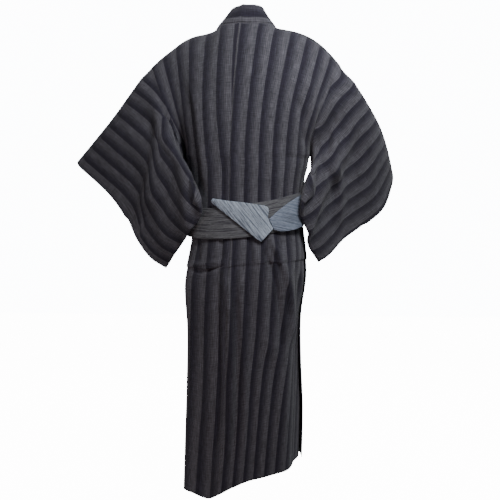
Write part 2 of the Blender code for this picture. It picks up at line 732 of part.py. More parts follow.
def collar_row(along, widths):
    """Points across the collar at this length along it."""
    side, drop, seam = collar_seam(along)
    length = abs(along)
    widths = widths + 0.0036 * math.exp(-(((length - NECK_LENGTH) / 0.03) ** 2))
    upright = float(read(COLLAR_LEAN, "up", length))
    inward = side * read(COLLAR_LEAN, "inward", length)
    lean = np.array([COLLAR_TILT * upright - inward, read(COLLAR_LEAN, "back", length), upright])
    lean /= np.linalg.norm(lean)
    standing = seam + np.outer(widths, lean)
    flat_share = min(float(read(COLLAR_LEAN, "lies_flat", length)), 1.0)
    if flat_share <= 0:
        return standing
    across = float(collar_across(drop)) + widths
    lying = front_cloth(side, drop, across)
    return standing * (1 - flat_share) + lying * flat_share


def strip_points(lengths, widths, lift):
    """Rows of a strip along the collar, moved out from it by lift."""
    rows = np.array([collar_row(length, widths) for length in lengths])
    along = np.gradient(rows, axis=0)
    across = np.gradient(rows, axis=1)
    normal = np.cross(along, across)
    normal /= np.linalg.norm(normal, axis=-1, keepdims=True)
    return rows - normal * lift


def add_collar(collection, finish):
    """The collar, double cloth along the neck and both fronts, and the cover over its neck stretch."""
    longest = COLLAR_END_DROP - 0.0016 + NECK_LENGTH
    every = np.linspace(-longest, longest, COLLAR_STEPS)
    middle = [0.35 * COLLAR_WIDTH, 0.68 * COLLAR_WIDTH]
    for name, reach, start, width, wall, lift in (
        ("collar", longest, SEAM_GAP + 0.0017, COLLAR_WIDTH, COLLAR_WALL, 0.0),
        ("collar_cover", COVER_END + NECK_LENGTH, 0.004, COLLAR_WIDTH - 0.001, COVER_WALL,
         (COLLAR_WALL + COVER_WALL) / 2 + SEAM_GAP),
    ):
        lengths = every[np.abs(every) < reach + 1e-6]
        widths = np.array([start, *middle, width])
        rows = strip_points(lengths, widths, lift)
        points = rows.reshape(-1, 3)
        numbers = np.arange(len(points)).reshape(rows.shape[:2]).tolist()
        faces = []
        for upper, lower in zip(numbers, numbers[1:]):
            add_strip(faces, upper, lower)
        add_cloth(collection, name, points, faces, wall, finish)


def sash_point(angle_degrees, height, outset):
    """A point on the sash's middle surface, further out in front where the fronts and collar lie under it."""
    angle = math.radians(angle_degrees)
    lie = 0.0032 + 0.0087 * float(ease((abs((angle_degrees + 180) % 360 - 180) - 30) / 60))
    flat = section_point(np.clip(height, -0.62, -0.45), np.array([angle]), lie + SASH_WALL / 2 + outset)[0]
    return np.array([flat[0], flat[1], height])


def add_sash(collection, finish):
    """The sash wound round the waist, higher on the wearer's right."""
    angles = np.linspace(-180, 180, SASH_STEPS + 1)[:-1]
    shares = np.array([0.0, 0.08, 0.36, 0.64, 0.92, 1.0])
    swell = np.array([0.0, 0.0004, 0.0010, 0.0010, 0.0004, 0.0])
    points = []
    faces = []
    for angle in angles:
        top = float(read(SASH, "top", angle))
        bottom = float(read(SASH, "bottom", angle))
        for share, out in zip(shares, swell):
            points.append(sash_point(angle, top + (bottom - top) * share, out))
    count = len(shares)
    rows = [list(range(i * count, (i + 1) * count)) for i in range(len(angles))]
    for upper, lower in zip(rows, rows[1:] + rows[:1]):
        add_strip(faces, upper, lower)
    add_cloth(collection, "obi_wrap", points, faces, SASH_WALL, finish)


def add_knot_piece(collection, name, table, outset, finish):
    """A folded stretch of the sash that lies on the part wound round the waist."""
    shares = np.linspace(0, 1, 13)
    points = []
    faces = []
    rows = []
    for share in shares:
        low = np.array([read(table, "low_along", share), read(table, "low_height", share)])
        high = np.array([read(table, "high_along", share), read(table, "high_height", share)])
        rows.append(list(range(len(points), len(points) + 6)))
        for part in np.linspace(0, 1, 6):
            along, height = low + (high - low) * part
            angle = math.degrees(float(section_angle(float(np.clip(height, -0.60, -0.46)), along)[0]))
            puff = 0.0022 * math.sin(math.pi * part) ** 0.7
            points.append(sash_point(angle, float(height), outset + puff))
    for upper, lower in zip(rows, rows[1:]):
        add_strip(faces, upper, lower)
    add_cloth(collection, name, points, faces, KNOT_WALL, finish)


def build():
    """Clears the scene and makes every piece of the robe."""
    for old in list(bpy.data.objects):
        bpy.data.objects.remove(old)
    collection = bpy.data.collections.new("yukata_robe")
    bpy.context.scene.collection.children.link(collection)
    for side in (LEFT, RIGHT):
        word = "left" if side == LEFT else "right"
        add_body(collection, side, material(f"cotton_body_{word}", YUKATA_COLOUR, 0.9))
        add_okumi(collection, side, material(f"cotton_okumi_{word}", YUKATA_COLOUR, 0.9))
        add_sleeve(collection, side, material(f"cotton_sleeve_{word}", YUKATA_COLOUR, 0.9))
    add_collar(collection, material("cotton_collar", YUKATA_COLOUR, 0.9))
    add_sash(collection, material("sash_wound", SASH_COLOUR, 0.8))
    outset = (SASH_WALL + KNOT_WALL) / 2 + SEAM_GAP + 0.001
    add_knot_piece(collection, "obi_tongue", TONGUE, outset, material("sash_tongue", SASH_COLOUR, 0.8))
    add_knot_piece(collection, "obi_tail", TAIL, outset, material("sash_tail", SASH_COLOUR, 0.8))


build()
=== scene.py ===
# %% [markdown]
# # A striped cotton yukata, seen from behind
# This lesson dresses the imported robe. Each sewn piece becomes a fine sheet of cloth that lies on its solid,
# with the creases that the photograph shows, and with the stripes of the cloth laid out in flat measures, so
# that they run true down each panel. The sash gets its own streaky weave.

import math

import bmesh
import bpy
import numpy as np
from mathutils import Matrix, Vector


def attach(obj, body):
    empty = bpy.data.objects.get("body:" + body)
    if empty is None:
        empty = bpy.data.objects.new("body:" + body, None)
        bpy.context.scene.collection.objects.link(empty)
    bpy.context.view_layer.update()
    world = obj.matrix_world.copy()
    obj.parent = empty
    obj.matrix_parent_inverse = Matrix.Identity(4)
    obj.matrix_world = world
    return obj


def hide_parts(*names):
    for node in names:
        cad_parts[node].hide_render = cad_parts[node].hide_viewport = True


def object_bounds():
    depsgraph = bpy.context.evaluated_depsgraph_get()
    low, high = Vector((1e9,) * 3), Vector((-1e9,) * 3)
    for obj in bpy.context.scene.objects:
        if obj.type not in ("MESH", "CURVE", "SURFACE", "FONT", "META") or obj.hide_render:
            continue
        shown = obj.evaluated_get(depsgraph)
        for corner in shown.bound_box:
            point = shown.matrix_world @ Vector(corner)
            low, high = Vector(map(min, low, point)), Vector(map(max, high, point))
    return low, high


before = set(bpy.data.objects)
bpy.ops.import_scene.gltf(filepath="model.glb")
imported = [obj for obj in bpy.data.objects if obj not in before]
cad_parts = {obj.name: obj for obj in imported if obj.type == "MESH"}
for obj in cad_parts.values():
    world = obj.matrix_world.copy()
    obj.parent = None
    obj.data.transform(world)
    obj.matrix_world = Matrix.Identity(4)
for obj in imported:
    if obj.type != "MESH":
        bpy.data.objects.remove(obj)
cad_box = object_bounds()
print("the packed robe reaches from", cad_box[0], "to", cad_box[1])

# %% [markdown]
# ## The cut of the cloth
# A yukata is cut from straight lengths of narrow cloth, so a few widths and lengths say all of it. They
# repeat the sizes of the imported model, in metres. A drop is measured down the cloth from the shoulder fold.

# %% Sizes of the cut
LEFT = 1.0
RIGHT = -1.0
BACK_WIDTH = 0.30
FRONT_WIDTH = 0.25
OKUMI_WIDTH = 0.155
NECK_HALF = 0.09
NECK_LENGTH = 0.115
SLEEVE_WIDTH = 0.355
SLEEVE_DEPTH = 0.49
ARMHOLE_SHARE = 0.80
CUFF_SHARE = 0.56
COLLAR_WIDTH = 0.055
COVER_END = 0.36
OKUMI_DROP = 0.25
ARMPIT_DROP = 0.40
COLLAR_END_DROP = 0.605
HEM_DROP = 1.34
SEAM_GAP = 0.0003
print("the cloth of one half is", 2 * HEM_DROP, "m long and", BACK_WIDTH, "m wide")

# %% [markdown]
# ## Reading a form from a table
# A worn robe has no straight edge, so each edge and section is a short table of places, and a smooth curve
# runs through them. Blender's own curves could do this too, but a table can be read anywhere along its
# length, which the fine sheets need.

# %% Smooth curves through tables
def column(table, name):
    """One named column of a table as an array."""
    place = table[0].index(name)
    return np.array([row[place] for row in table[1:]], float)


def smooth(keys, values, at):
    """A smooth curve through values at rising keys, read at these places."""
    slopes = np.gradient(values, keys)
    at = np.clip(np.asarray(at, float), keys[0], keys[-1])
    cell = np.clip(np.searchsorted(keys, at, side="right") - 1, 0, len(keys) - 2)
    width = keys[cell + 1] - keys[cell]
    t = (at - keys[cell]) / width
    start = values[cell] * (1 + 2 * t) * (1 - t) ** 2 + slopes[cell] * width * t * (1 - t) ** 2
    end = values[cell + 1] * (3 - 2 * t) * t**2 - slopes[cell + 1] * width * t**2 * (1 - t)
    return start + end


def read(table, name, at):
    """A smooth value of a table's column, read at places along its first column."""
    return smooth(column(table, table[0][0]), column(table, name), at)


def point(table, at):
    """The smooth 3D point of a table with x, y and z columns."""
    return np.stack([read(table, name, at) for name in ("x", "y", "z")], axis=-1)


def ease(t):
    """0 below 0, 1 above 1, and a smooth step between."""
    t = np.clip(t, 0.0, 1.0)
    return t * t * (3 - 2 * t)

# %% [markdown]
# ## The body below the armpits
# The skirt hangs round the wearer as one rounded section at each height. A point of the cloth is given by
# flat measures: how far across its panel it lies, and its drop. These functions turn the flat measures into
# a place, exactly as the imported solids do, so the fine sheets lie on the solids.

# %% The section at each height
ARMPIT_HEIGHT = -0.36
HEM_HEIGHT = -1.30
ROUNDNESS = 2.3
# Cross sections of the hollow body by height. seam is the place of the back seam, left_side and right_side
# are the side seams, all as lengths along the section from its rearmost point.
BODY = (
    ("height", "half_width", "back", "front", "middle", "seam", "left_side", "right_side"),
    (-1.36, 0.166, 0.130, 0.124, 0.016, 0.046, 0.300, -0.254),
    (-1.15, 0.165, 0.130, 0.124, 0.010, 0.036, 0.298, -0.260),
    (-1.00, 0.161, 0.131, 0.124, 0.008, 0.027, 0.296, -0.260),
    (-0.85, 0.161, 0.135, 0.126, 0.006, 0.026, 0.300, -0.262),
    (-0.72, 0.173, 0.138, 0.126, 0.004, 0.022, 0.312, -0.268),
    (-0.60, 0.160, 0.121, 0.114, -0.003, 0.026, 0.278, -0.242),
    (-0.50, 0.156, 0.110, 0.104, -0.002, 0.032, 0.260, -0.222),
    (-0.43, 0.164, 0.112, 0.108, -0.004, 0.032, 0.262, -0.227),
    (-0.39, 0.172, 0.113, 0.112, -0.006, 0.032, 0.265, -0.235),
    (-0.36, 0.177, 0.113, 0.115, -0.006, 0.033, 0.268, -0.240),
)


def section_height(drop):
    """Mean height of the cloth this far down from the shoulder fold, below the armpit."""
    share = (drop - ARMPIT_DROP) / (HEM_DROP - ARMPIT_DROP)
    return ARMPIT_HEIGHT + share * (HEM_HEIGHT - ARMPIT_HEIGHT)


def section_point(height, angle, outset):
    """Points (x, y) of the body's section at these angles from the back, moved out by outset."""
    half = read(BODY, "half_width", height) + outset
    depth = np.where(np.cos(angle) > 0, read(BODY, "back", height), read(BODY, "front", height)) + outset
    power = 2 / ROUNDNESS
    x = read(BODY, "middle", height) + half * np.sign(np.sin(angle)) * np.abs(np.sin(angle)) ** power
    y = depth * np.sign(np.cos(angle)) * np.abs(np.cos(angle)) ** power
    return np.stack([x, y], axis=-1)


def section_angle(height, along):
    """Angle of a point this far along the section from its rearmost point, and the girth."""
    angles = np.linspace(-2 * math.pi, 2 * math.pi, 721)
    outline = section_point(height, angles, 0.0)
    steps = np.linalg.norm(np.diff(outline, axis=0), axis=1)
    lengths = np.concatenate([[0.0], np.cumsum(steps)])
    lengths -= lengths[360]
    return np.interp(along, lengths, angles), lengths[540] - lengths[180]


print("girth at the waist", round(float(section_angle(-0.55, 0.0)[1]), 3), "m")

# %% The folds of the skirt
# Folds of the skirt: where each starts and ends along the section and down the cloth, how far it stands out
# (or in) and how wide it is.
SKIRT_FOLDS = (
    ("from_along", "to_along", "from_drop", "to_drop", "rise", "width"),
    (0.026, 0.040, 0.65, 1.40, 0.0080, 0.018),
    (0.100, 0.085, 0.66, 1.40, -0.0070, 0.024),
    (-0.050, -0.100, 0.65, 1.00, 0.0080, 0.018),
    (-0.075, -0.055, 0.68, 1.40, -0.0070, 0.026),
    (-0.145, -0.150, 0.65, 1.40, 0.0080, 0.026),
    (0.165, 0.160, 0.66, 1.40, 0.0080, 0.026),
    (0.235, 0.230, 0.65, 1.40, -0.0070, 0.024),
    (-0.215, -0.210, 0.68, 1.40, -0.0060, 0.022),
    (0.330, 0.300, 0.66, 1.40, 0.0090, 0.028),
    (0.410, 0.390, 0.66, 1.40, -0.0080, 0.028),
    (-0.330, -0.300, 0.66, 1.40, 0.0090, 0.028),
    (-0.400, -0.420, 0.66, 1.40, -0.0080, 0.026),
)


def skirt_fold(along, drop, girth):
    """How far the main folds of the skirt stand out at this place."""
    around = (along + girth / 2) % girth - girth / 2
    rise = np.zeros_like(around)
    for start, end, top, bottom, height, width in SKIRT_FOLDS[1:]:
        share = (drop - top) / (bottom - top)
        centre = start + (end - start) * share
        fade = ease(share / 0.15) * ease((1.06 - share) / 0.15)
        rise += height * fade * np.exp(-(((around - centre) / width) ** 2))
    return rise


print("the skirt hangs in", len(SKIRT_FOLDS) - 1, "main folds")

# %% The cloth down to the hem, with the tuck below the sash
TUCK_DROP = 0.715
TUCK_STEP = 0.0030
TUCK_BLEND = 0.007
# Height of the hem round the body, by angle from the back, towards the wearer's left.
HEM = (
    ("angle", "height"),
    (-180, -1.236),
    (-135, -1.222),
    (-90, -1.226),
    (-65, -1.242),
    (-24, -1.267),
    (-6, -1.282),
    (10, -1.312),
    (22, -1.328),
    (45, -1.318),
    (90, -1.300),
    (135, -1.268),
    (180, -1.236),
)


def lower_cloth(drop, along, outset):
    """A row of cloth below the armpit, at these lengths along the section."""
    height = float(section_height(drop))
    angle, girth = section_angle(height, along)
    tuck = TUCK_STEP * (0.5 - ease((drop - TUCK_DROP) / TUCK_BLEND + 0.5)) * ease((drop - 0.62) / 0.05)
    fold = skirt_fold(along, drop, girth)
    flat = section_point(height, angle, outset + tuck + fold)
    hem = read(HEM, "height", np.degrees((angle + math.pi) % (2 * math.pi) - math.pi))
    slope = ease((drop - ARMPIT_DROP) / (HEM_DROP - ARMPIT_DROP)) * (hem - HEM_HEIGHT)
    return np.column_stack([flat, height + slope])

# %% [markdown]
# ## The cloth over the shoulders
# Above the armpits the cloth rises from the section to the shoulder fold, and its outer edge is drawn to the
# armhole. Both fronts lie on one common surface of the chest, so that they stay on each other.

# %% Where the seams of each half run
LAYER_STEP = 0.0036


def side_seam(side, height):
    """Length along the section of the side seam."""
    return read(BODY, "left_side" if side == LEFT else "right_side", height)


def back_along(side, height, across):
    """Length along the section of the back panel, gathered towards the side seam."""
    seam = read(BODY, "seam", height)
    gathered = BACK_WIDTH - abs(side_seam(side, height) - seam)
    return seam + side * (across - gathered * (across / BACK_WIDTH) ** 3)


def front_outset(side, drop, across):
    """The left front lies over the right one, and its free edge stands off towards the hem."""
    if side == LEFT:
        loose = 0.003 + 0.005 * ease((drop - 0.80) / 0.40)
        return LAYER_STEP * ease(across / 0.06) + loose * ease((across - 0.36) / 0.045)
    return -LAYER_STEP * ease(across / 0.06) - 0.003 * ease((across - 0.27) / 0.10)

# %% The shoulder folds
# The shoulder fold of each half from the middle of the neck to the sleeve seam.
SHOULDER = {
    LEFT: (
        ("across", "x", "y", "z"),
        (0.000, 0.006, 0.000, 0.055),
        (0.050, 0.052, 0.000, 0.041),
        (0.075, 0.073, 0.000, 0.025),
        (0.090, 0.0850, 0.000, 0.010),
        (0.115, 0.1130, 0.000, 0.000),
        (0.148, 0.1485, 0.000, -0.006),
        (0.184, 0.1810, 0.000, -0.018),
        (0.228, 0.2175, 0.000, -0.042),
        (0.275, 0.2580, -0.005, -0.070),
        (0.300, 0.2780, -0.008, -0.087),
    ),
    RIGHT: (
        ("across", "x", "y", "z"),
        (0.000, 0.006, 0.000, 0.055),
        (0.050, -0.050, 0.000, 0.041),
        (0.075, -0.0740, 0.000, 0.026),
        (0.090, -0.0880, 0.000, 0.012),
        (0.115, -0.1150, 0.000, 0.004),
        (0.146, -0.1490, 0.000, -0.004),
        (0.190, -0.1920, 0.000, -0.023),
        (0.222, -0.2180, 0.000, -0.042),
        (0.259, -0.2440, 0.000, -0.068),
        (0.300, -0.2700, -0.006, -0.098),
    ),
}

# %% The armholes
# The armhole, from the shoulder fold (0) to the bottom inner corner of the sleeve (1). half_gap is half the
# distance between its back and front edges.
ARMHOLE = {
    LEFT: (
        ("down", "x", "y", "z", "half_gap"),
        (0.00, 0.278, -0.008, -0.087, 0.000),
        (0.02, 0.276, -0.008, -0.092, 0.019),
        (0.07, 0.269, -0.006, -0.109, 0.034),
        (0.20, 0.246, -0.004, -0.168, 0.046),
        (0.40, 0.216, -0.004, -0.240, 0.050),
        (0.60, 0.190, -0.012, -0.305, 0.036),
        (0.80, 0.172, -0.030, -0.360, 0.003),
        (1.00, 0.184, -0.020, -0.465, 0.003),
    ),
    RIGHT: (
        ("down", "x", "y", "z", "half_gap"),
        (0.00, -0.270, -0.006, -0.098, 0.000),
        (0.02, -0.269, -0.006, -0.103, 0.019),
        (0.07, -0.265, -0.004, -0.120, 0.034),
        (0.20, -0.248, 0.000, -0.172, 0.046),
        (0.40, -0.222, 0.004, -0.240, 0.050),
        (0.60, -0.200, 0.004, -0.302, 0.036),
        (0.80, -0.186, 0.000, -0.360, 0.003),
        (1.00, -0.192, 0.000, -0.462, 0.003),
    ),
}


def armhole_edge(side, down, face):
    """Edge of the cloth at the armhole: face is 1 for the back, -1 for the front."""
    edge = point(ARMHOLE[side], down)
    edge[..., 1] += face * read(ARMHOLE[side], "half_gap", down)
    return edge

# %% The back panel
NECK_DIP = 0.036


def upper_cloth(side, drop, across, low):
    """Cloth between the armpit and the shoulder fold, above the row low, across from the neck's middle."""
    rise = 1 - drop / ARMPIT_DROP
    fold = point(SHOULDER[side], np.maximum(across, 0.0))
    fold[:, 0] += side * np.minimum(across, 0.0)
    power = 2.7 - 0.6 * np.clip(across / BACK_WIDTH, 0, 1)
    turn = np.maximum(1 - rise**power, 0.0) ** (1 / power)
    x = low[:, 0] + (fold[:, 0] - low[:, 0]) * rise**1.1
    y = low[:, 1] * turn + fold[:, 1] * (1 - turn)
    z = low[:, 2] + (fold[:, 2] - low[:, 2]) * rise
    return np.column_stack([x, y, z])


def back_cloth(side, drop, across):
    """A row of the back panel. Near the neck the row bends down to the neckline."""
    across = np.asarray(across, float)
    if drop > ARMPIT_DROP:
        return lower_cloth(drop, back_along(side, section_height(drop), across), 0.0)
    room = (1 - drop / ARMPIT_DROP) * NECK_DIP * np.maximum(1 - (across / NECK_HALF) ** 2, 0.0)
    low = lower_cloth(ARMPIT_DROP, back_along(side, ARMPIT_HEIGHT, across), 0.0)
    end = np.array([BACK_WIDTH])
    low_end = lower_cloth(ARMPIT_DROP, back_along(side, ARMPIT_HEIGHT, end), 0.0)
    outer = upper_cloth(side, drop, end, low_end)[0]
    shift = armhole_edge(side, drop / ARMPIT_DROP * ARMHOLE_SHARE, 1) - outer
    cloth = upper_cloth(side, drop + room, across, low)
    return cloth + shift * ((across / BACK_WIDTH) ** 2)[:, None]


print("left end of the shoulder", np.round(back_cloth(LEFT, 0.0, [BACK_WIDTH])[0], 3))

# %% The common surface of the chest
def chest(x, z):
    """Place along y of the chest's surface, the same for both fronts, so that they lie on each other."""
    depth = np.zeros_like(x)
    downs = np.linspace(0, ARMHOLE_SHARE, 41)
    for sign in (LEFT, RIGHT):
        mine = x > 0 if sign == LEFT else x <= 0
        place = np.abs(x[mine])
        height = z[mine]
        hole = ARMHOLE[sign]
        heights = read(hole, "z", downs)
        down = np.interp(-height, -heights, downs)
        edge_x = np.abs(read(hole, "x", down))
        edge_y = read(hole, "y", down) - read(hole, "half_gap", down)
        keys = np.abs(column(SHOULDER[sign], "x"))
        crest = read(SHOULDER[sign], "z", np.interp(place, keys, column(SHOULDER[sign], "across")))
        rise = np.clip((height - ARMPIT_HEIGHT) / (crest - ARMPIT_HEIGHT), 0, 1)
        middle = -read(BODY, "front", ARMPIT_HEIGHT) * np.sqrt(1 - rise**2)
        above = height > heights[0]
        edge_x = np.where(above, abs(read(SHOULDER[sign], "x", BACK_WIDTH)), edge_x)
        edge_y = np.where(above, read(SHOULDER[sign], "y", BACK_WIDTH), edge_y)
        share = np.minimum(place / edge_x, 1.0)
        depth[mine] = edge_y + (middle - edge_y) * (1 - share**ROUNDNESS) ** (1 / ROUNDNESS)
    return depth

# %% The front panel
def front_cloth(side, drop, across):
    """A row of the front, across from the side seam towards and past the middle."""
    across = np.asarray(across, float)
    outset = front_outset(side, drop, across)
    if drop > ARMPIT_DROP:
        return lower_cloth(drop, side_seam(side, section_height(drop)) + side * across, outset)
    start = side_seam(side, ARMPIT_HEIGHT)
    low = lower_cloth(ARMPIT_DROP, start + side * across, outset)
    cloth = upper_cloth(side, drop, BACK_WIDTH - across, low)
    low_end = lower_cloth(ARMPIT_DROP, np.array([start]), 0.0)
    outer = upper_cloth(side, drop, np.array([BACK_WIDTH]), low_end)[0]
    shift = armhole_edge(side, drop / ARMPIT_DROP * ARMHOLE_SHARE, -1) - outer
    weight = np.clip(1 - across / FRONT_WIDTH, 0, 1) ** 2
    cloth = cloth + shift * weight[:, None]
    common = chest(cloth[:, 0], cloth[:, 2]) - outset
    settled = ease((ARMPIT_DROP - drop) / 0.03) * ease(drop / 0.03)
    cloth[:, 1] += (common - cloth[:, 1]) * settled
    return cloth

# %% The seam of the collar
def collar_across(drop):
    """Where the collar seam crosses the front, from the side seam. Below the collar it is the free edge."""
    neck = BACK_WIDTH - NECK_HALF
    upper = neck + (FRONT_WIDTH - neck) * ease(drop / OKUMI_DROP)
    slant = np.clip((drop - OKUMI_DROP) / (COLLAR_END_DROP - OKUMI_DROP), 0, 1)
    step = COLLAR_WIDTH * (drop > COLLAR_END_DROP)
    return upper + (OKUMI_WIDTH - COLLAR_WIDTH) * slant + step


print("the collar meets the front's edge", OKUMI_DROP, "m down and ends", COLLAR_END_DROP, "m down")

# %% [markdown]
# ## The form of the sleeves
# A sleeve is a flat bag of cloth round the arm. Four edges give its middle sheet: the top fold, the bottom
# edge, the armhole and the cuff. Its two layers stand off that sheet where the arm fills it.

# %% The top folds and bottom edges
# Top fold of each sleeve from the armhole (0) to the cuff (1), and the half thickness of the arm in it.
SLEEVE_TOP = {
    LEFT: (
        ("out", "x", "y", "z", "arm"),
        (0.00, 0.278, -0.008, -0.087, 0.050),
        (0.25, 0.336, -0.022, -0.154, 0.046),
        (0.50, 0.404, -0.040, -0.232, 0.042),
        (0.75, 0.465, -0.060, -0.294, 0.038),
        (1.00, 0.529, -0.080, -0.358, 0.034),
    ),
    RIGHT: (
        ("out", "x", "y", "z", "arm"),
        (0.00, -0.270, -0.006, -0.098, 0.050),
        (0.25, -0.310, -0.046, -0.178, 0.046),
        (0.50, -0.340, -0.104, -0.250, 0.042),
        (0.75, -0.357, -0.176, -0.318, 0.036),
        (1.00, -0.364, -0.258, -0.372, 0.030),
    ),
}
# Bottom edge of each sleeve from its hidden inner corner (0) to the cuff's lower corner (1).
SLEEVE_BOTTOM = {
    LEFT: (
        ("out", "x", "y", "z"),
        (0.00, 0.184, -0.020, -0.465),
        (0.15, 0.176, 0.052, -0.482),
        (0.27, 0.138, 0.108, -0.498),
        (0.35, 0.106, 0.130, -0.516),
        (0.45, 0.118, 0.116, -0.548),
        (0.70, 0.174, 0.064, -0.612),
        (1.00, 0.236, 0.006, -0.682),
    ),
    RIGHT: (
        ("out", "x", "y", "z"),
        (0.00, -0.192, 0.000, -0.462),
        (0.15, -0.202, 0.046, -0.476),
        (0.27, -0.188, 0.086, -0.492),
        (0.36, -0.176, 0.092, -0.510),
        (0.50, -0.176, 0.066, -0.548),
        (0.75, -0.182, 0.008, -0.616),
        (1.00, -0.205, -0.044, -0.664),
    ),
}
BOTTOM_BEND = {LEFT: 0.8, RIGHT: 1.3}

# %% The cuffs and the folds of the sleeves
# Cuff edge of each sleeve from the top fold (0) to the lower corner (1).
CUFF = {
    LEFT: (
        ("down", "x", "y", "z"),
        (0.00, 0.529, -0.080, -0.358),
        (0.22, 0.461, -0.062, -0.418),
        (0.42, 0.402, -0.040, -0.480),
        (0.60, 0.357, -0.020, -0.542),
        (0.76, 0.326, -0.008, -0.602),
        (0.90, 0.280, 0.002, -0.656),
        (1.00, 0.236, 0.006, -0.682),
    ),
    RIGHT: (
        ("down", "x", "y", "z"),
        (0.00, -0.364, -0.258, -0.372),
        (0.22, -0.391, -0.196, -0.436),
        (0.42, -0.380, -0.160, -0.506),
        (0.60, -0.324, -0.126, -0.558),
        (0.76, -0.274, -0.090, -0.598),
        (0.90, -0.232, -0.058, -0.646),
        (1.00, -0.205, -0.044, -0.664),
    ),
}
# Folds of the sleeves: where each starts and ends out along the sleeve (0 armhole, 1 cuff) and down it
# (0 top fold, 1 bottom edge), how far it stands out (or in) and how wide it is, as a share of the sleeve.
SLEEVE_FOLDS = {
    LEFT: (
        ("from_out", "to_out", "from_down", "to_down", "rise", "width"),
        (0.02, 0.58, 0.10, 1.05, 0.0110, 0.070),
        (0.22, 0.46, 0.10, 1.05, -0.0060, 0.070),
        (0.40, 0.86, 0.15, 1.05, 0.0050, 0.080),
    ),
    RIGHT: (
        ("from_out", "to_out", "from_down", "to_down", "rise", "width"),
        (0.16, 0.66, 0.10, 1.05, 0.0120, 0.070),
        (0.30, 0.78, 0.20, 1.05, -0.0060, 0.080),
        (0.02, 0.50, 0.25, 1.05, -0.0070, 0.060),
    ),
}

# %% The middle sheet of a sleeve
def sleeve_middle(side, out, down):
    """The sheet midway between the two layers of a sleeve."""
    top = SLEEVE_TOP[side]
    bottom = SLEEVE_BOTTOM[side]
    start = point(ARMHOLE[side], down)
    end = point(CUFF[side], down)
    out = np.asarray(out, float)[..., None]
    flat = start + (end - start) * out
    high = point(top, out[..., 0]) - (point(top, 0.0) + (point(top, 1.0) - point(top, 0.0)) * out)
    low = point(bottom, out[..., 0]) - (point(bottom, 0.0) + (point(bottom, 1.0) - point(bottom, 0.0)) * out)
    share = np.asarray(down, float)[..., None]
    return flat + high * (1 - share) ** 1.5 + low * ease((share - 0.12) / 0.88) ** BOTTOM_BEND[side]


def sleeve_normal(side, out, down, small):
    """Direction out of the back layer, from the middle sheet."""
    middle = sleeve_middle(side, out, down)
    ahead = sleeve_middle(side, np.minimum(out + small, 1.0), down)
    behind = sleeve_middle(side, np.maximum(out - small, 0.0), down)
    below = sleeve_middle(side, out, np.minimum(down + small, 1.0))
    above = sleeve_middle(side, out, np.maximum(down - small, 0.0))
    normal = np.cross(ahead - behind, below - above) * side
    return middle, normal / np.linalg.norm(normal, axis=-1, keepdims=True)

# %% How far the layers of a sleeve stand off its middle sheet
def sleeve_fold(side, out, down):
    """How far the main folds of a sleeve stand out of its middle sheet."""
    rise = np.zeros_like(out)
    for from_out, to_out, top, bottom, height, width in SLEEVE_FOLDS[side][1:]:
        share = (down - top) / (bottom - top)
        centre = from_out + (to_out - from_out) * share
        fade = ease(share / 0.3) * ease(out / 0.08)
        rise = rise + height * fade * np.exp(-(((out - centre) / width) ** 2))
    return rise


def sleeve_half_gap(side, out, down):
    """Half the distance between the layers: round over the arm, then nearly closed."""
    arm = read(SLEEVE_TOP[side], "arm", out)
    below = down * SLEEVE_DEPTH / (1.3 * arm)
    round_top = arm * np.sqrt(np.maximum(1 - (1 - np.minimum(below, 1.0)) ** 2, 0.0))
    loose = np.exp(-((np.maximum(below - 1, 0.0) / 2.4) ** 2))
    return round_top * (0.12 + 0.88 * loose) * ease((1.04 - down) / 0.12) + 0.003 * ease(down / 0.1)


print("the left arm room is", 2 * round(float(read(SLEEVE_TOP[LEFT], "arm", 0.5)), 3), "m thick half way out")

# %% Clear of the body
SOFT_CONTACT = 0.05


def push_clear(points, clearance):
    """Moves points that would lie in the body's section out to its surface."""
    height = np.clip(points[..., 2], -1.3, ARMPIT_HEIGHT)
    middle = read(BODY, "middle", height)
    half = read(BODY, "half_width", height) + clearance
    depth = np.where(points[..., 1] > 0, read(BODY, "back", height), read(BODY, "front", height)) + clearance
    x = points[..., 0] - middle
    y = points[..., 1]
    reach = (np.abs(x / half) ** ROUNDNESS + np.abs(y / depth) ** ROUNDNESS) ** (1 / ROUNDNESS)
    near = ease((ARMPIT_HEIGHT + 0.04 - points[..., 2]) / 0.06)
    inside = 1 / np.maximum(reach, 0.05) - 1
    scale = 1 + (inside + np.sqrt(inside**2 + SOFT_CONTACT**2)) / 2 * near
    moved = points.copy()
    moved[..., 0] = middle + x * scale
    moved[..., 1] = y * scale
    return moved

# %% The two layers of a sleeve
def sleeve_layer(side, out, down, face):
    """The back layer (face 1) or the front layer (face -1) of a sleeve."""
    middle, normal = sleeve_normal(side, out, down, 0.004)
    away = face * sleeve_half_gap(side, out, down) + sleeve_fold(side, out, down)
    layer = middle + normal * away[..., None]
    edge = armhole_edge(side, down, face)
    zero = np.zeros_like(down)
    first, outward = sleeve_normal(side, zero, down, 0.004)
    seam = first + outward * face * sleeve_half_gap(side, zero, down)[..., None]
    layer = layer + (edge - seam) * (1 - ease(out / 0.14))[..., None]
    clearance = (0.014 if face > 0 else 0.009) * ease((out - 0.01) / 0.10)
    return push_clear(layer, clearance)


print("top of the left cuff", np.round(sleeve_layer(LEFT, np.ones(1), np.zeros(1), 1)[0], 3))

# %% [markdown]
# ## The form of the collar and of the sash
# The collar follows the neck seam and leans as a real one does: upright at the back of the neck, and flat on
# the fronts. The sash follows the body's section with its own edges.

# %% A row across the collar
COLLAR_TILT = -0.20
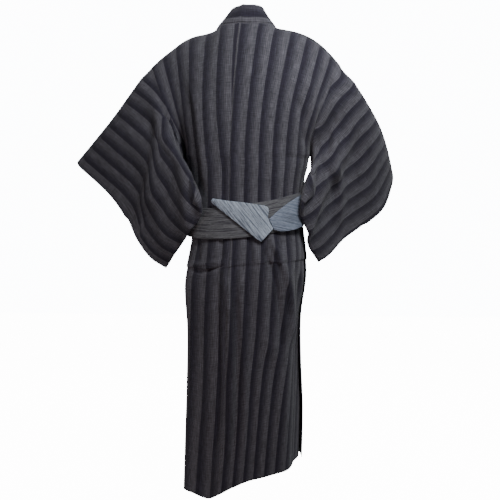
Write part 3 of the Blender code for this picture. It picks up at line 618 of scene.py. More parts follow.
# How the collar leans where it stands round the neck, by length along its seam from the back seam.
COLLAR_LEAN = (
    ("along", "inward", "back", "up", "lies_flat"),
    (0.00, 0.00, -0.06, 1.00, 0.0),
    (0.05, 0.38, -0.08, 0.88, 0.0),
    (0.10, 0.66, -0.12, 0.74, 0.0),
    (0.14, 0.80, -0.25, 0.60, 0.30),
    (0.18, 0.92, -0.25, 0.35, 0.75),
    (0.23, 0.99, -0.20, 0.10, 1.0),
    (1.00, 0.99, -0.10, 0.10, 1.0),
)


def collar_row(along, widths):
    """Points across the collar at this length along it from the back seam, positive on the wearer's left."""
    side = LEFT if along >= 0 else RIGHT
    length = abs(along)
    if length < NECK_LENGTH:
        drop = 0.0
        across = NECK_HALF * math.sin(length / NECK_LENGTH * math.pi / 2)
        seam = back_cloth(side, 0.0, np.array([across]))[0]
    else:
        drop = length - NECK_LENGTH
        seam = front_cloth(side, drop, np.array([float(collar_across(drop))]))[0]
    widths = widths + 0.0036 * math.exp(-(((length - NECK_LENGTH) / 0.03) ** 2))
    upright = float(read(COLLAR_LEAN, "up", length))
    inward = side * read(COLLAR_LEAN, "inward", length)
    lean = np.array([COLLAR_TILT * upright - inward, read(COLLAR_LEAN, "back", length), upright])
    lean /= np.linalg.norm(lean)
    standing = seam + np.outer(widths, lean)
    flat_share = min(float(read(COLLAR_LEAN, "lies_flat", length)), 1.0)
    if flat_share <= 0:
        return standing
    lying = front_cloth(side, drop, float(collar_across(drop)) + widths)
    return standing * (1 - flat_share) + lying * flat_share


print("height of the collar at the back", round(float(collar_row(0.0, np.array([COLLAR_WIDTH]))[0, 2]), 3))

# %% A point on the sash
SASH_WALL = 0.0042


def sash_point(angle_degrees, height, outset):
    """A point on the sash, further out in front where the fronts and collar lie under it."""
    angle = math.radians(angle_degrees)
    lie = 0.0032 + 0.0087 * float(ease((abs((angle_degrees + 180) % 360 - 180) - 30) / 60))
    flat = section_point(np.clip(height, -0.62, -0.45), np.array([angle]), lie + SASH_WALL / 2 + outset)[0]
    return np.array([flat[0], flat[1], height])

# %% [markdown]
# ## Creases
# The camera stands where the photographer stood. A crease is a line across that view, in millimetres to the
# right of the back's middle and down from the neck, with its own rise and its own width on each side. It
# moves only cloth that faces the camera, along the cloth's normal, and fades out at both ends. Sculpting by
# hand would give the same, but lines with a rise and a width are easier to change.

# %% Places in the back view
CAMERA_AZIMUTH = 190.0
CAMERA_DISTANCE = 3.3
CAMERA_HEIGHT = -0.629
MM_IN_METRE = 1000


def seen_from_behind(points):
    """Where points show in the camera's view, in metres to the right and down."""
    turn = math.radians(CAMERA_AZIMUTH)
    right = points[..., 0] * math.cos(turn) + points[..., 1] * math.sin(turn)
    nearer = points[..., 0] * math.sin(turn) - points[..., 1] * math.cos(turn)
    scale = CAMERA_DISTANCE / (CAMERA_DISTANCE - nearer)
    return np.stack([right * scale, (CAMERA_HEIGHT - points[..., 2]) * scale - CAMERA_HEIGHT], axis=-1)


def smooth_path(path, count):
    """Points in metres along a smooth curve through a path in millimetres."""
    path = np.array(path) / MM_IN_METRE
    keys = np.concatenate([[0.0], np.cumsum(np.linalg.norm(np.diff(path, axis=0), axis=1))])
    at = np.linspace(0, keys[-1], count)
    return np.stack([smooth(keys, path[:, i], at) for i in (0, 1)], axis=-1)


def beside_path(seen, path):
    """Distance of each seen point from a path, positive on its right, and the share along the path."""
    line = smooth_path(path, 48)
    flat = seen.reshape(-1, 2)
    best = np.full(len(flat), 1e9)
    share = np.zeros(len(flat))
    sign = np.ones(len(flat))
    for i in range(len(line) - 1):
        step = line[i + 1] - line[i]
        offset = flat - line[i]
        t = np.clip(offset @ step / (step @ step), 0, 1)
        away = offset - t[:, None] * step
        far = np.linalg.norm(away, axis=1)
        closer = far < best
        best[closer] = far[closer]
        share[closer] = ((i + t) / (len(line) - 1))[closer]
        side = offset[:, 0] * step[1] - offset[:, 1] * step[0]
        sign[closer] = np.where(side[closer] > 0, 1.0, -1.0)
    return (best * sign).reshape(seen.shape[:-1]), share.reshape(seen.shape[:-1])

# %% The creases that the photograph shows, in millimetres
RIGHT_RIDGE = (
    (238, 229), (252, 281), (258, 339), (261, 391),
    (267, 429), (270, 496), (267, 542), (278, 580),
)
CREASES = {
    "body": (
        ("rise", "left", "right", "path"),
        (-5.1, 16, 14, ((-191, 107), (-171, 180), (-159, 252), (-151, 339), (-133, 435), (-119, 501))),
        (3.7, 10, 12, ((-174, 107), (-148, 223), (-133, 339), (-116, 484))),
        (-2.7, 10, 12, ((-99, 78), (-96, 223), (-93, 339), (-78, 484))),
        (-3.7, 8, 8, ((-64, 339), (-67, 426), (-64, 493))),
        (12.7, 6, 13, ((-67, 652), (-55, 774), (-49, 861), (-46, 1064), (-61, 1209), (-78, 1325))),
        (5.1, 12, 12, ((-119, 664), (-116, 861), (-113, 1064), (-116, 1296))),
        (-7.5, 10, 7, ((-84, 652), (-81, 861), (-78, 1064), (-93, 1267))),
        (-7.1, 3.5, 3, ((-162, 693), (-119, 690), (-58, 672))),
        (5.1, 4, 4, ((-162, 675), (-116, 670), (-58, 658))),
        (-5.8, 5, 6, ((-70, 583), (-72, 629), (-75, 681))),
        (-4.1, 6, 7, ((-136, 600), (-139, 635), (-142, 670))),
        (1.4, 3, 3, ((-145, 420), (-93, 423), (-52, 420))),
        (3.4, 10, 10, ((-154, 774), (-157, 919), (-151, 1122))),
        (6.8, 16, 20, ((165, 107), (183, 165), (197, 238), (209, 310))),
        (-6.8, 12, 12, ((148, 180), (162, 252), (168, 339))),
        (-4.4, 8, 10, ((46, 310), (55, 383), (61, 490))),
        (3.7, 8, 10, ((87, 310), (87, 397), (87, 484))),
        (-3.7, 8, 8, ((128, 339), (122, 412), (119, 478))),
        (-2.7, 10, 10, ((-6, 78), (-12, 223), (-17, 368), (-14, 484))),
        (6.8, 6, 10, ((-17, 672), (-12, 774), (-9, 919), (-3, 1122), (-17, 1296))),
        (-6.8, 7, 10, ((-32, 664), (-29, 832), (-26, 1064), (-38, 1267))),
        (14.5, 5, 14, ((58, 571), (75, 612), (96, 658), (113, 704), (125, 774), (130, 919))),
        (-10.2, 8, 6, ((41, 583), (58, 635), (78, 693), (96, 774), (104, 948))),
        (4.4, 12, 12, ((29, 687), (32, 861), (35, 1064), (26, 1267))),
        (-4.1, 10, 12, ((70, 745), (72, 919), (75, 1122), (64, 1267))),
        (-5.8, 5, 6, ((6, 583), (12, 629), (17, 681))),
        (1.4, 3, 3, ((-46, 420), (46, 423), (145, 417))),
        (1.4, 3, 3, ((-29, 959), (70, 962), (165, 959))),
        (5.1, 6, 10, ((157, 664), (162, 774), (157, 890))),
        (-3.4, 5, 6, ((139, 629), (148, 701), (148, 832), (148, 1006))),
    ),
    "sleeve_left": (
        ("rise", "left", "right", "path"),
        (13, 16, 42, ((-249, 171), (-249, 252), (-261, 357), (-281, 455), (-299, 507), (-304, 548))),
        (-5, 18, 14, ((-214, 84), (-194, 151), (-180, 223), (-168, 339), (-145, 443), (-125, 501))),
        (-3, 16, 16, ((-197, 252), (-200, 339), (-214, 412), (-241, 484), (-258, 571))),
        (2.6, 14, 14, ((-162, 403), (-183, 455), (-214, 507), (-232, 586))),
        (2, 16, 16, ((-365, 267), (-374, 339), (-371, 426))),
        (-2.2, 18, 18, ((-299, 223), (-316, 325), (-328, 426))),
    ),
    "sleeve_right": (
        ("rise", "left", "right", "path"),
        (10, 14, 14, RIGHT_RIDGE),
        (-7, 13, 12, ((209, 229), (206, 307), (214, 357), (235, 397), (249, 426), (258, 472), (255, 548))),
        (3, 10, 12, ((209, 414), (214, 455), (214, 513), (220, 588))),
        (-3, 16, 18, ((301, 180), (307, 281), (313, 383), (322, 484))),
        (2.6, 14, 16, ((348, 223), (362, 310), (365, 412), (354, 499))),
    ),
}
print({name: len(table) - 1 for name, table in CREASES.items()}, "creases")

# %% How far the creases stand out
CREASE_END = 0.22


def crease_rise(name, seen):
    """How far the creases of one piece stand out at each seen point."""
    rise = np.zeros(seen.shape[:-1])
    for height, left, right, path in CREASES.get(name, ((),))[1:]:
        away, share = beside_path(seen, path)
        width = np.where(away > 0, right, left) / MM_IN_METRE
        ends = ease(share / CREASE_END) * ease((1 - share) / CREASE_END)
        rise += height * ends * np.exp(-((away / width) ** 2))
    return rise / MM_IN_METRE

# %% [markdown]
# ## Stripes that bend with a fold
# Where a deep fold swallows cloth, the stripes on both sides of it no longer meet. They are carried sideways
# along the fold, and the shift fades out away from it.

# %% The bent stripes of the sleeves, in millimetres
STRIPE_BENDS = {
    "sleeve_left": (
        ("shift", "near", "far", "path"),
        (-18, 12, 100, (
            (-212, 119), (-223, 180), (-238, 252), (-258, 357),
            (-281, 455), (-299, 507), (-304, 548),
        )),
    ),
    "sleeve_right": (
        ("shift", "near", "far", "path"),
        (10, 14, 90, RIGHT_RIDGE),
    ),
}


def stripe_bend(name, seen):
    """How far the stripes of one piece are carried sideways where its cloth folds."""
    shift = np.zeros(seen.shape[:-1])
    for amount, near, far, path in STRIPE_BENDS.get(name, ((),))[1:]:
        away, share = beside_path(seen, path)
        away = away * MM_IN_METRE
        bent = np.tanh(away / near) * np.exp(-((away / far) ** 2))
        shift += amount * bent * ease(share / 0.3)
    return shift / MM_IN_METRE

# %% [markdown]
# ## Sheets
# Each sheet is a grid of points with its flat measures beside it, kept as a UV map. The stripes read the
# first flat measure, and the weave reads both. A Solidify modifier gives the sheet its thin wall.

# %% Creasing a grid of points
def grid_normals(points, outward):
    """Normals of a grid of points, on the side that outward says."""
    normal = np.cross(np.gradient(points, axis=0), np.gradient(points, axis=1))
    length = np.linalg.norm(normal, axis=-1, keepdims=True)
    normal = normal / np.maximum(length, 1e-12)
    if np.sum(normal * outward) < 0:
        normal = -normal
    return normal


def crease_patch(name, points, fade):
    """Moves the points of one grid by the creases of its piece. fade is 0 where it joins another grid."""
    turn = math.radians(CAMERA_AZIMUTH)
    toward = np.array([math.sin(turn), -math.cos(turn), 0.0])
    normal = grid_normals(points, toward)
    facing = ease(np.clip(normal @ toward, 0, 1) / 0.5)
    rise = crease_rise(name, seen_from_behind(points)) * facing * fade
    return points + normal * rise[..., None]

# %% One mesh from joined grids
MERGE_DISTANCE = 0.00003


def add_object(name, data):
    """A new object in the scene's collection."""
    made = bpy.data.objects.new(name, data)
    bpy.context.scene.collection.objects.link(made)
    return made


def join_patches(name, patches, wall, finish):
    """One mesh from grids of points, joined where their edges meet, with a thin wall."""
    points = np.concatenate([patch[0].reshape(-1, 3) for patch in patches])
    flat = np.concatenate([patch[1].reshape(-1, 2) for patch in patches])
    quads = []
    start = 0
    for grid, _, turned in patches:
        rows, columns = grid.shape[:2]
        number = np.arange(rows * columns).reshape(rows, columns) + start
        quad = np.stack([number[:-1, :-1], number[:-1, 1:], number[1:, 1:], number[1:, :-1]], axis=-1)
        quads.append(quad.reshape(-1, 4)[:, :: -1 if turned else 1])
        start += rows * columns
    quads = np.concatenate(quads)
    mesh = bpy.data.meshes.new(name)
    mesh.from_pydata(points.tolist(), [], quads.tolist())
    layer = mesh.uv_layers.new(name="flat")
    layer.data.foreach_set("uv", flat[quads.reshape(-1)].astype(np.float32).ravel())
    piece = add_object(name, mesh)
    made = bmesh.new()
    made.from_mesh(mesh)
    bmesh.ops.remove_doubles(made, verts=made.verts, dist=MERGE_DISTANCE)
    made.to_mesh(mesh)
    made.free()
    mesh.shade_smooth()
    mesh.materials.append(finish)
    shell = piece.modifiers.new("wall", "SOLIDIFY")
    shell.thickness = wall
    shell.offset = 0.0
    print(name, "has", len(mesh.polygons), "faces")
    return piece

# %% Finishing a piece
def half_name(kind, side):
    """The name of a node that each half of the robe has."""
    return kind + ("_left" if side == LEFT else "_right")


def soften(piece, width, segments):
    """Rounds the edges of a piece's wall."""
    bevel = piece.modifiers.new("soft edge", "BEVEL")
    bevel.width = width
    bevel.segments = segments


def keep(piece, nodes):
    """Hangs the piece under the robe's root and hides the imported solids that it stands for."""
    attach(piece, "root")
    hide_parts(*nodes)

# %% Rows down the cloth
CLOTH_STEP = 0.0058


def fine_drops(bottom, step):
    """Distances down the cloth, one every step, closer together at the tuck."""
    upper = ARMPIT_DROP * np.linspace(0, 1, int(ARMPIT_DROP / step * 1.3)) ** 1.3
    lower = np.arange(ARMPIT_DROP + step, bottom - step / 2, step)
    tuck = TUCK_DROP + TUCK_BLEND * np.linspace(-0.6, 0.6, 7)
    lower = lower[np.abs(lower - TUCK_DROP) > TUCK_BLEND]
    return np.sort(np.concatenate([upper, lower, tuck, [bottom]]))


print("a body panel has", len(fine_drops(HEM_DROP, CLOTH_STEP)), "rows")

# %% [markdown]
# ## The cotton
# The yukata's stripe is a narrow dark band with one sharp edge, which then fades back to grey through finer
# pin lines. The cloth is plain woven, with thicker threads here and there across it. An image could show
# this too, but nodes stay sharp at any distance.

# %% Small helpers for shader nodes
def node(tree, kind, **settings):
    """One shader node with its settings."""
    made = tree.nodes.new(kind)
    for name, value in settings.items():
        setattr(made, name, value)
    return made


def set_inputs(made, values):
    """Gives plain values to the named inputs of a node."""
    for name, value in values.items():
        made.inputs[name].default_value = value


def arithmetic(tree, operation, first, second=0.0):
    """A maths node. Each input is a number or a socket."""
    made = node(tree, "ShaderNodeMath", operation=operation)
    for socket, value in zip(made.inputs, (first, second)):
        if isinstance(value, (int, float)):
            socket.default_value = value
        else:
            tree.links.new(value, socket)
    return made.outputs[0]

# %% Noise and colours along the cloth
def between(tree, value, low, high):
    """A value from 0 to 1 as one from low to high."""
    made = node(tree, "ShaderNodeMapRange")
    set_inputs(made, {"To Min": low, "To Max": high})
    tree.links.new(value, made.inputs["Value"])
    return made.outputs[0]


def stretched_noise(tree, across, along, across_scale, along_scale, detail):
    """Noise that is stretched along one direction of the cloth."""
    place = node(tree, "ShaderNodeCombineXYZ")
    tree.links.new(arithmetic(tree, "MULTIPLY", across, across_scale), place.inputs[0])
    tree.links.new(arithmetic(tree, "MULTIPLY", along, along_scale), place.inputs[1])
    noise = node(tree, "ShaderNodeTexNoise")
    set_inputs(noise, {"Scale": 1.0, "Detail": detail})
    tree.links.new(place.outputs[0], noise.inputs["Vector"])
    return noise.outputs["Fac"]


def ramp(tree, value, stops):
    """A colour ramp through these (place, colour) stops."""
    made = node(tree, "ShaderNodeValToRGB")
    stretch = made.color_ramp.elements
    while len(stretch) < len(stops):
        stretch.new(0.5)
    for element, (place, colour) in zip(stretch, stops):
        element.position = place
        element.color = (*colour, 1.0)
    tree.links.new(value, made.inputs[0])
    return made.outputs[0]


def scaled_colour(tree, colour, value, low, high):
    """A colour made lighter or darker by a value from 0 to 1."""
    made = node(tree, "ShaderNodeVectorMath", operation="SCALE")
    tree.links.new(colour, made.inputs[0])
    tree.links.new(between(tree, value, low, high), made.inputs["Scale"])
    return made.outputs[0]

# %% A new material that reads the flat measures
def new_material(name):
    """A material, with its node tree and its main shader."""
    made = bpy.data.materials.new(name)
    made.use_nodes = True
    return made, made.node_tree, made.node_tree.nodes["Principled BSDF"]


def flat_measures(tree):
    """The two flat measures of the cloth, in metres."""
    flat = node(tree, "ShaderNodeUVMap", uv_map="flat")
    split = node(tree, "ShaderNodeSeparateXYZ")
    tree.links.new(flat.outputs[0], split.inputs[0])
    return split.outputs[0], split.outputs[1]

# %% The weave that the yukata and the sash share
WEAVE_STRENGTH = 0.55


def make_weave_group():
    """A plain weave with thicker threads here and there, which the yukata and the sash share."""
    group = bpy.data.node_groups.new("plain_weave", "ShaderNodeTree")
    for name in ("Across", "Along", "Threads"):
        group.interface.new_socket(name=name, in_out="INPUT", socket_type="NodeSocketFloat")
    for name in ("Height", "Thick Threads"):
        group.interface.new_socket(name=name, in_out="OUTPUT", socket_type="NodeSocketFloat")
    given = node(group, "NodeGroupInput")
    result = node(group, "NodeGroupOutput")
    across = given.outputs["Across"]
    along = given.outputs["Along"]
    turns = arithmetic(group, "MULTIPLY", given.outputs["Threads"], math.tau)
    warp = arithmetic(group, "SINE", arithmetic(group, "MULTIPLY", across, turns))
    weft = arithmetic(group, "SINE", arithmetic(group, "MULTIPLY", along, turns))
    both = arithmetic(group, "MULTIPLY", warp, weft)
    thick = stretched_noise(group, across, along, 90.0, 1100.0, 2.0)
    height = arithmetic(group, "ADD", both, arithmetic(group, "MULTIPLY", thick, 2.4))
    group.links.new(height, result.inputs["Height"])
    group.links.new(thick, result.inputs["Thick Threads"])
    return group


def add_weave(tree, weave, across, along, threads, distance):
    """The weave in one material, with so many threads a metre. Gives the normal and the thick threads."""
    woven = node(tree, "ShaderNodeGroup", node_tree=weave)
    tree.links.new(across, woven.inputs["Across"])
    tree.links.new(along, woven.inputs["Along"])
    woven.inputs["Threads"].default_value = threads
    bump = node(tree, "ShaderNodeBump")
    set_inputs(bump, {"Strength": WEAVE_STRENGTH, "Distance": distance})
    tree.links.new(woven.outputs["Height"], bump.inputs["Height"])
    return bump.outputs[0], woven.outputs["Thick Threads"]


weave = make_weave_group()
print("the weave group has", len(weave.nodes), "nodes")

# %% The striped cotton
STRIPE_REPEAT = 0.0435
PIN_REPEAT = 0.0052
STRIPE_WANDER = 0.0022
COTTON_THREADS = 900.0
STRIPE_DARK = (0.018, 0.016, 0.028)
STRIPE_FADE = (0.030, 0.028, 0.042)
STRIPE_MIDDLE = (0.057, 0.055, 0.069)
STRIPE_LIGHT = (0.086, 0.084, 0.099)
STRIPE_STOPS = (
    (0.00, STRIPE_DARK),
    (0.17, STRIPE_DARK),
    (0.28, STRIPE_FADE),
    (0.50, STRIPE_MIDDLE),
    (0.68, STRIPE_LIGHT),
    (0.955, STRIPE_LIGHT),
    (1.00, STRIPE_DARK),
)


def yukata_material(weave):
    """Striped slub cotton."""
    made, tree, shader = new_material("striped_cotton")
    across, along = flat_measures(tree)
    wander = stretched_noise(tree, across, along, 3.0, 9.0, 1.0)
    wandered = arithmetic(tree, "ADD", across, arithmetic(tree, "MULTIPLY", wander, STRIPE_WANDER))
    place = arithmetic(tree, "FRACT", arithmetic(tree, "DIVIDE", wandered, STRIPE_REPEAT))
    colour = ramp(tree, place, STRIPE_STOPS)
    pins = arithmetic(tree, "SINE", arithmetic(tree, "MULTIPLY", wandered, math.tau / PIN_REPEAT))
    pin_place = arithmetic(tree, "MULTIPLY_ADD", pins, 0.5)
    pin_place.node.inputs[2].default_value = 0.5
    lined = scaled_colour(tree, colour, pin_place, 0.86, 1.10)
    slub = stretched_noise(tree, across, along, 40.0, 420.0, 3.0)
    slubbed = scaled_colour(tree, lined, slub, 0.20, 1.80)
    warp = stretched_noise(tree, across, along, 420.0, 30.0, 2.0)
    threads = scaled_colour(tree, slubbed, warp, 0.10, 1.90)
    worn = stretched_noise(tree, across, along, 6.0, 5.0, 2.0)
    final = scaled_colour(tree, threads, worn, 0.90, 1.10)
    tree.links.new(final, shader.inputs["Base Color"])
    normal, thick = add_weave(tree, weave, across, along, COTTON_THREADS, 0.00022)
    tree.links.new(normal, shader.inputs["Normal"])
    tree.links.new(between(tree, thick, 0.78, 0.95), shader.inputs["Roughness"])
    set_inputs(shader, {"Sheen Weight": 0.12, "Sheen Roughness": 0.6, "Specular IOR Level": 0.2})
    return made


cotton = yukata_material(weave)
print(cotton.name, "has", len(cotton.node_tree.nodes), "nodes")

# %% [markdown]
# ## The two halves of the body
# One length of cloth makes the back and the front of each half. In the left half the stripes run a little
# askew to the back seam above the waist, as they do in the photograph.

# %% How the stripes lie on the back
# The stripes of the back: how closely they lie and how far from the back seam the first one starts, by the
# distance down the cloth.
STRIPE_SPREAD = {
    LEFT: (
        ("drop", "spread", "first"),
        (0.00, 0.88, 0.0110),
        (0.26, 0.90, -0.0025),
        (0.43, 0.98, -0.0206),
        (0.77, 0.92, -0.0230),
        (1.05, 0.88, -0.0230),
        (1.34, 0.88, -0.0230),
    ),
    RIGHT: (
        ("drop", "spread", "first"),
        (0.00, 1.00, 0.0070),
        (0.10, 1.01, 0.0070),
        (0.26, 1.07, 0.0050),
        (0.43, 1.09, 0.0040),
        (0.77, 1.11, 0.0100),
        (0.91, 1.14, 0.0100),
        (1.05, 1.27, 0.0050),
        (1.19, 1.42, 0.0120),
        (1.34, 1.45, 0.0120),
    ),
}

# %% One half, with its back and its front
CLOTH_WALL = 0.0013


def make_body(side, finish):
    """One half of the body with its creases and its stripes."""
    name = half_name("body", side)
    neck = np.linspace(0.00001, NECK_HALF, 19)
    shoulder = np.linspace(NECK_HALF, BACK_WIDTH, 43)
    across = np.concatenate([neck, shoulder[1:]])
    drops = fine_drops(HEM_DROP, CLOTH_STEP)
    back = np.array([back_cloth(side, drop, across) for drop in drops])
    seam_fade = np.where(drops < ARMPIT_DROP, 0.03, 0.015)[:, None]
    inside = ease((BACK_WIDTH - across[None, :]) / seam_fade)
    back = crease_patch("body", back, ease(drops / 0.03)[:, None] * inside)
    spread = read(STRIPE_SPREAD[side], "spread", drops)[:, None]
    measure = -side * spread * (across[None, :] - read(STRIPE_SPREAD[side], "first", drops)[:, None])
    back_flat = np.stack([measure, drops[:, None] * np.ones(len(across))], axis=-1)
    shares = (BACK_WIDTH - shoulder) / (BACK_WIDTH - NECK_HALF)
    rows = []
    flats = []
    for drop in drops:
        inner = min(float(collar_across(drop)), FRONT_WIDTH) - SEAM_GAP / 2
        place = shares * inner
        rows.append(front_cloth(side, drop, place))
        line = -side * spread[0, 0] * (BACK_WIDTH - place - STRIPE_SPREAD[side][1][2])
        flats.append(np.column_stack([line, np.full(len(place), -drop)]))
    front = np.array(rows)
    front[0] = back[0, len(neck) - 1 :]
    turned = side == LEFT
    patches = [(back, back_flat, turned), (front, np.array(flats), not turned)]
    piece = join_patches(name + "_cloth", patches, CLOTH_WALL, finish)
    keep(piece, [name])

# %% [markdown]
# ## The overlap panels
# A narrow strip, the okumi, widens each front so that the two can cross. It starts where the collar leaves
# the front's edge, and its stripes run on beside those of the front.

# %% One overlap panel
OKUMI_TOP_GAP = 0.014


def make_okumi(side, finish):
    """The overlap panel of one front."""
    name = half_name("okumi", side)
    top = OKUMI_DROP + OKUMI_TOP_GAP
    drops = fine_drops(HEM_DROP, CLOTH_STEP)
    step = [COLLAR_END_DROP - SEAM_GAP, COLLAR_END_DROP + SEAM_GAP]
    drops = np.sort(np.concatenate([[top], drops[drops > top + 0.001], step]))
    rows = []
    flats = []
    for drop in drops:
        edge = float(collar_across(drop)) - SEAM_GAP / 2
        across = np.linspace(FRONT_WIDTH + SEAM_GAP / 2, edge, 27)
        rows.append(front_cloth(side, drop, across))
        line = -side * (across - FRONT_WIDTH - 0.02)
        flats.append(np.column_stack([line, np.full(len(across), -drop)]))
    patches = [(np.array(rows), np.array(flats), side == LEFT)]
    piece = join_patches(name + "_cloth", patches, CLOTH_WALL, finish)
    keep(piece, [name])

# %% [markdown]
# ## The sleeves
# A sleeve is one length of cloth folded at the top. It is sewn up along the bottom, and below the cuff
# opening and the armhole. Both layers are made as grids and joined along their common edges. The stripes are
# carried sideways where the big fold from the shoulder bends the cloth.

# %% One sleeve
SLEEVE_STRIPE_START = {LEFT: 0.325, RIGHT: 0.345}


def make_sleeve(side, finish):
    """One sleeve, with both layers and the closed edges."""
    name = half_name("sleeve", side)
    out = np.concatenate([[0.0, 0.006, 0.014], np.linspace(0.024, 1, 66)])
    down = np.linspace(0, 1, 92) ** 1.12
    grid_out, grid_down = np.meshgrid(out, down, indexing="ij")
    back = sleeve_layer(side, grid_out, grid_down, 1)
    front = sleeve_layer(side, grid_out, grid_down, -1)
    top = (back[:, 0] + front[:, 0]) / 2
    bottom = (back[:, -1] + front[:, -1]) / 2
    fade = ease(grid_down / 0.06) * ease((1 - grid_down) / 0.05) * ease(grid_out / 0.14)
    plain_back = back
    seen = seen_from_behind(back)
    back = crease_patch(name, back, fade)
    back[:, 0] = top
    front[:, 0] = top
    back[:, -1] = bottom
    front[:, -1] = bottom
    for edge, open_share in ((0, ARMHOLE_SHARE), (-1, CUFF_SHARE)):
        closed = ease((down - open_share) / 0.03)[:, None]
        middle = (back[edge] + front[edge]) / 2
        back[edge] = back[edge] * (1 - closed) + middle * closed
        front[edge] = front[edge] * (1 - closed) + middle * closed
    steps = np.linalg.norm(np.diff(plain_back, axis=0), axis=-1)
    along = SLEEVE_WIDTH - np.concatenate([np.cumsum(steps[::-1], axis=0)[::-1], np.zeros((1, len(down)))])
    bend = stripe_bend(name, seen) * ease((1 - grid_out) / 0.12) * ease(grid_out / 0.1)
    measure = -side * (along + bend - SLEEVE_STRIPE_START[side])
    back_flat = np.stack([measure, grid_down * SLEEVE_DEPTH], axis=-1)
    plain = -side * (along - SLEEVE_STRIPE_START[side])
    front_flat = np.stack([plain, -grid_down * SLEEVE_DEPTH], axis=-1)
    turned = side == RIGHT
    patches = [(back, back_flat, turned), (front, front_flat, not turned)]
    piece = join_patches(name + "_cloth", patches, CLOTH_WALL, finish)
    keep(piece, [name])

# %% Making the panels and sleeves of both halves
for side in (LEFT, RIGHT):
    make_body(side, cotton)
    make_okumi(side, cotton)
    make_sleeve(side, cotton)

# %% [markdown]
# ## The collar
# The collar is folded double, so it is thicker than the panels. Its stripes run along it. The cover lies on
# its neck stretch.

# %% Making the collar and its cover
COLLAR_CLOTH_WALL = 0.0024
COLLAR_WALL = 0.0026
COVER_WALL = 0.0012
COLLAR_STRIPE_START = 0.021
COLLAR_STRIPE_SPREAD = 0.7
# The collar goes a little under the neck seam, and its cover starts a little above it.
COLLAR_UNDER = 0.004
COVER_START = 0.004


def make_collar(finish):
    """The collar and its cover."""
    longest = COLLAR_END_DROP - 0.0016 + NECK_LENGTH
    every = np.linspace(-longest, longest, 361)
    for name, reach, start, width, wall, lift in (
        ("collar", longest, -COLLAR_UNDER, COLLAR_WIDTH, COLLAR_CLOTH_WALL, 0.0),
        ("collar_cover", COVER_END + NECK_LENGTH, COVER_START, COLLAR_WIDTH - 0.001, COVER_WALL,
         (COLLAR_WALL + COVER_WALL) / 2 + SEAM_GAP),
    ):
        lengths = every[np.abs(every) < reach + 1e-6]
        widths = np.linspace(start, width, 14)
        rows = np.array([collar_row(length, widths) for length in lengths])
        normal = np.cross(np.gradient(rows, axis=0), np.gradient(rows, axis=1))
        normal /= np.linalg.norm(normal, axis=-1, keepdims=True)
        points = rows - normal * lift
        measure = COLLAR_STRIPE_SPREAD * (widths - COLLAR_STRIPE_START)
        flat = np.stack(np.meshgrid(measure, lengths), axis=-1)
        piece = join_patches(name + "_cloth", [(points, flat, False)], wall, finish)
        soften(piece, wall * 0.4, 2)
        keep(piece, [name])


make_collar(cotton)

# %% [markdown]
# ## The sash
# The stiff sash of a man's yukata has fine dark streaks along its length. The wound stretch is one smooth
# band. The knot's tongue and tail are folded stretches of the same cloth, puffed a little between the folds.

# %% The sash cloth
SASH_LIGHT = (0.150, 0.153, 0.160)
SASH_DARK = (0.045, 0.045, 0.055)
SASH_THREADS = 700.0


def sash_material(name, light, dark, weave):
    """Stiff sash cloth with fine dark streaks along its length."""
    made, tree, shader = new_material(name)
    along, across = flat_measures(tree)
    streak = stretched_noise(tree, across, along, 300.0, 14.0, 3.0)
    colour = ramp(tree, streak, (
        (0.36, dark),
        (0.48, tuple(0.45 * d + 0.55 * w for d, w in zip(dark, light))),
        (0.60, light),
        (1.00, tuple(1.12 * w for w in light)),
    ))
    fine = stretched_noise(tree, across, along, 700.0, 110.0, 2.0)
    final = scaled_colour(tree, colour, fine, 0.35, 1.65)
    tree.links.new(final, shader.inputs["Base Color"])
    normal = add_weave(tree, weave, along, across, SASH_THREADS, 0.00030)[0]
    tree.links.new(normal, shader.inputs["Normal"])
    set_inputs(shader, {"Roughness": 0.80, "Specular IOR Level": 0.25})
    return made

# %% The stretch wound round the waist
SASH_WIDTH = 0.095
SASH_PER_DEGREE = 0.0027
SASH_SWELL = 0.0010
SASH_WAVE = 0.0006
# Upper and lower edge of the sash round the waist, by angle from the back towards the wearer's left.
SASH = (
    ("angle", "top", "bottom"),
    (-180, -0.478, -0.572),
    (-135, -0.466, -0.560),
    (-90, -0.458, -0.552),
    (-60, -0.472, -0.564),
    (-25, -0.492, -0.584),
    (0, -0.503, -0.596),
    (35, -0.511, -0.598),
    (70, -0.510, -0.590),
    (90, -0.504, -0.586),
    (135, -0.492, -0.584),
    (180, -0.478, -0.572),
)


def make_sash(finish):
    """The stretch wound round the waist."""
    angles = np.linspace(-180, 180, 241)
    shares = np.linspace(0, 1, 17)
    rows = []
    flats = []
    for angle in angles:
        top = float(read(SASH, "top", angle))
        bottom = float(read(SASH, "bottom", angle))
        swell = SASH_SWELL * np.sin(math.pi * shares) ** 0.6
        wave = SASH_WAVE * math.sin(angle * 0.11) * np.sin(math.pi * shares * 2)
        heights = top + (bottom - top) * shares
        rows.append([sash_point(angle, height, out) for height, out in zip(heights, swell + wave)])
        flats.append([(SASH_PER_DEGREE * angle, SASH_WIDTH * share) for share in shares])
    points = np.array(rows)
    points[-1] = points[0]
    patch = (points, np.array(flats), True)
    piece = join_patches("obi_wrap_cloth", [patch], SASH_WALL * 0.9, finish)
    soften(piece, 0.0012, 2)
    keep(piece, ["obi_wrap"])


make_sash(sash_material("sash_cloth", SASH_LIGHT, SASH_DARK, weave))

# %% A folded stretch of the knot
KNOT_WALL = 0.0056
KNOT_PUFF = 0.0022


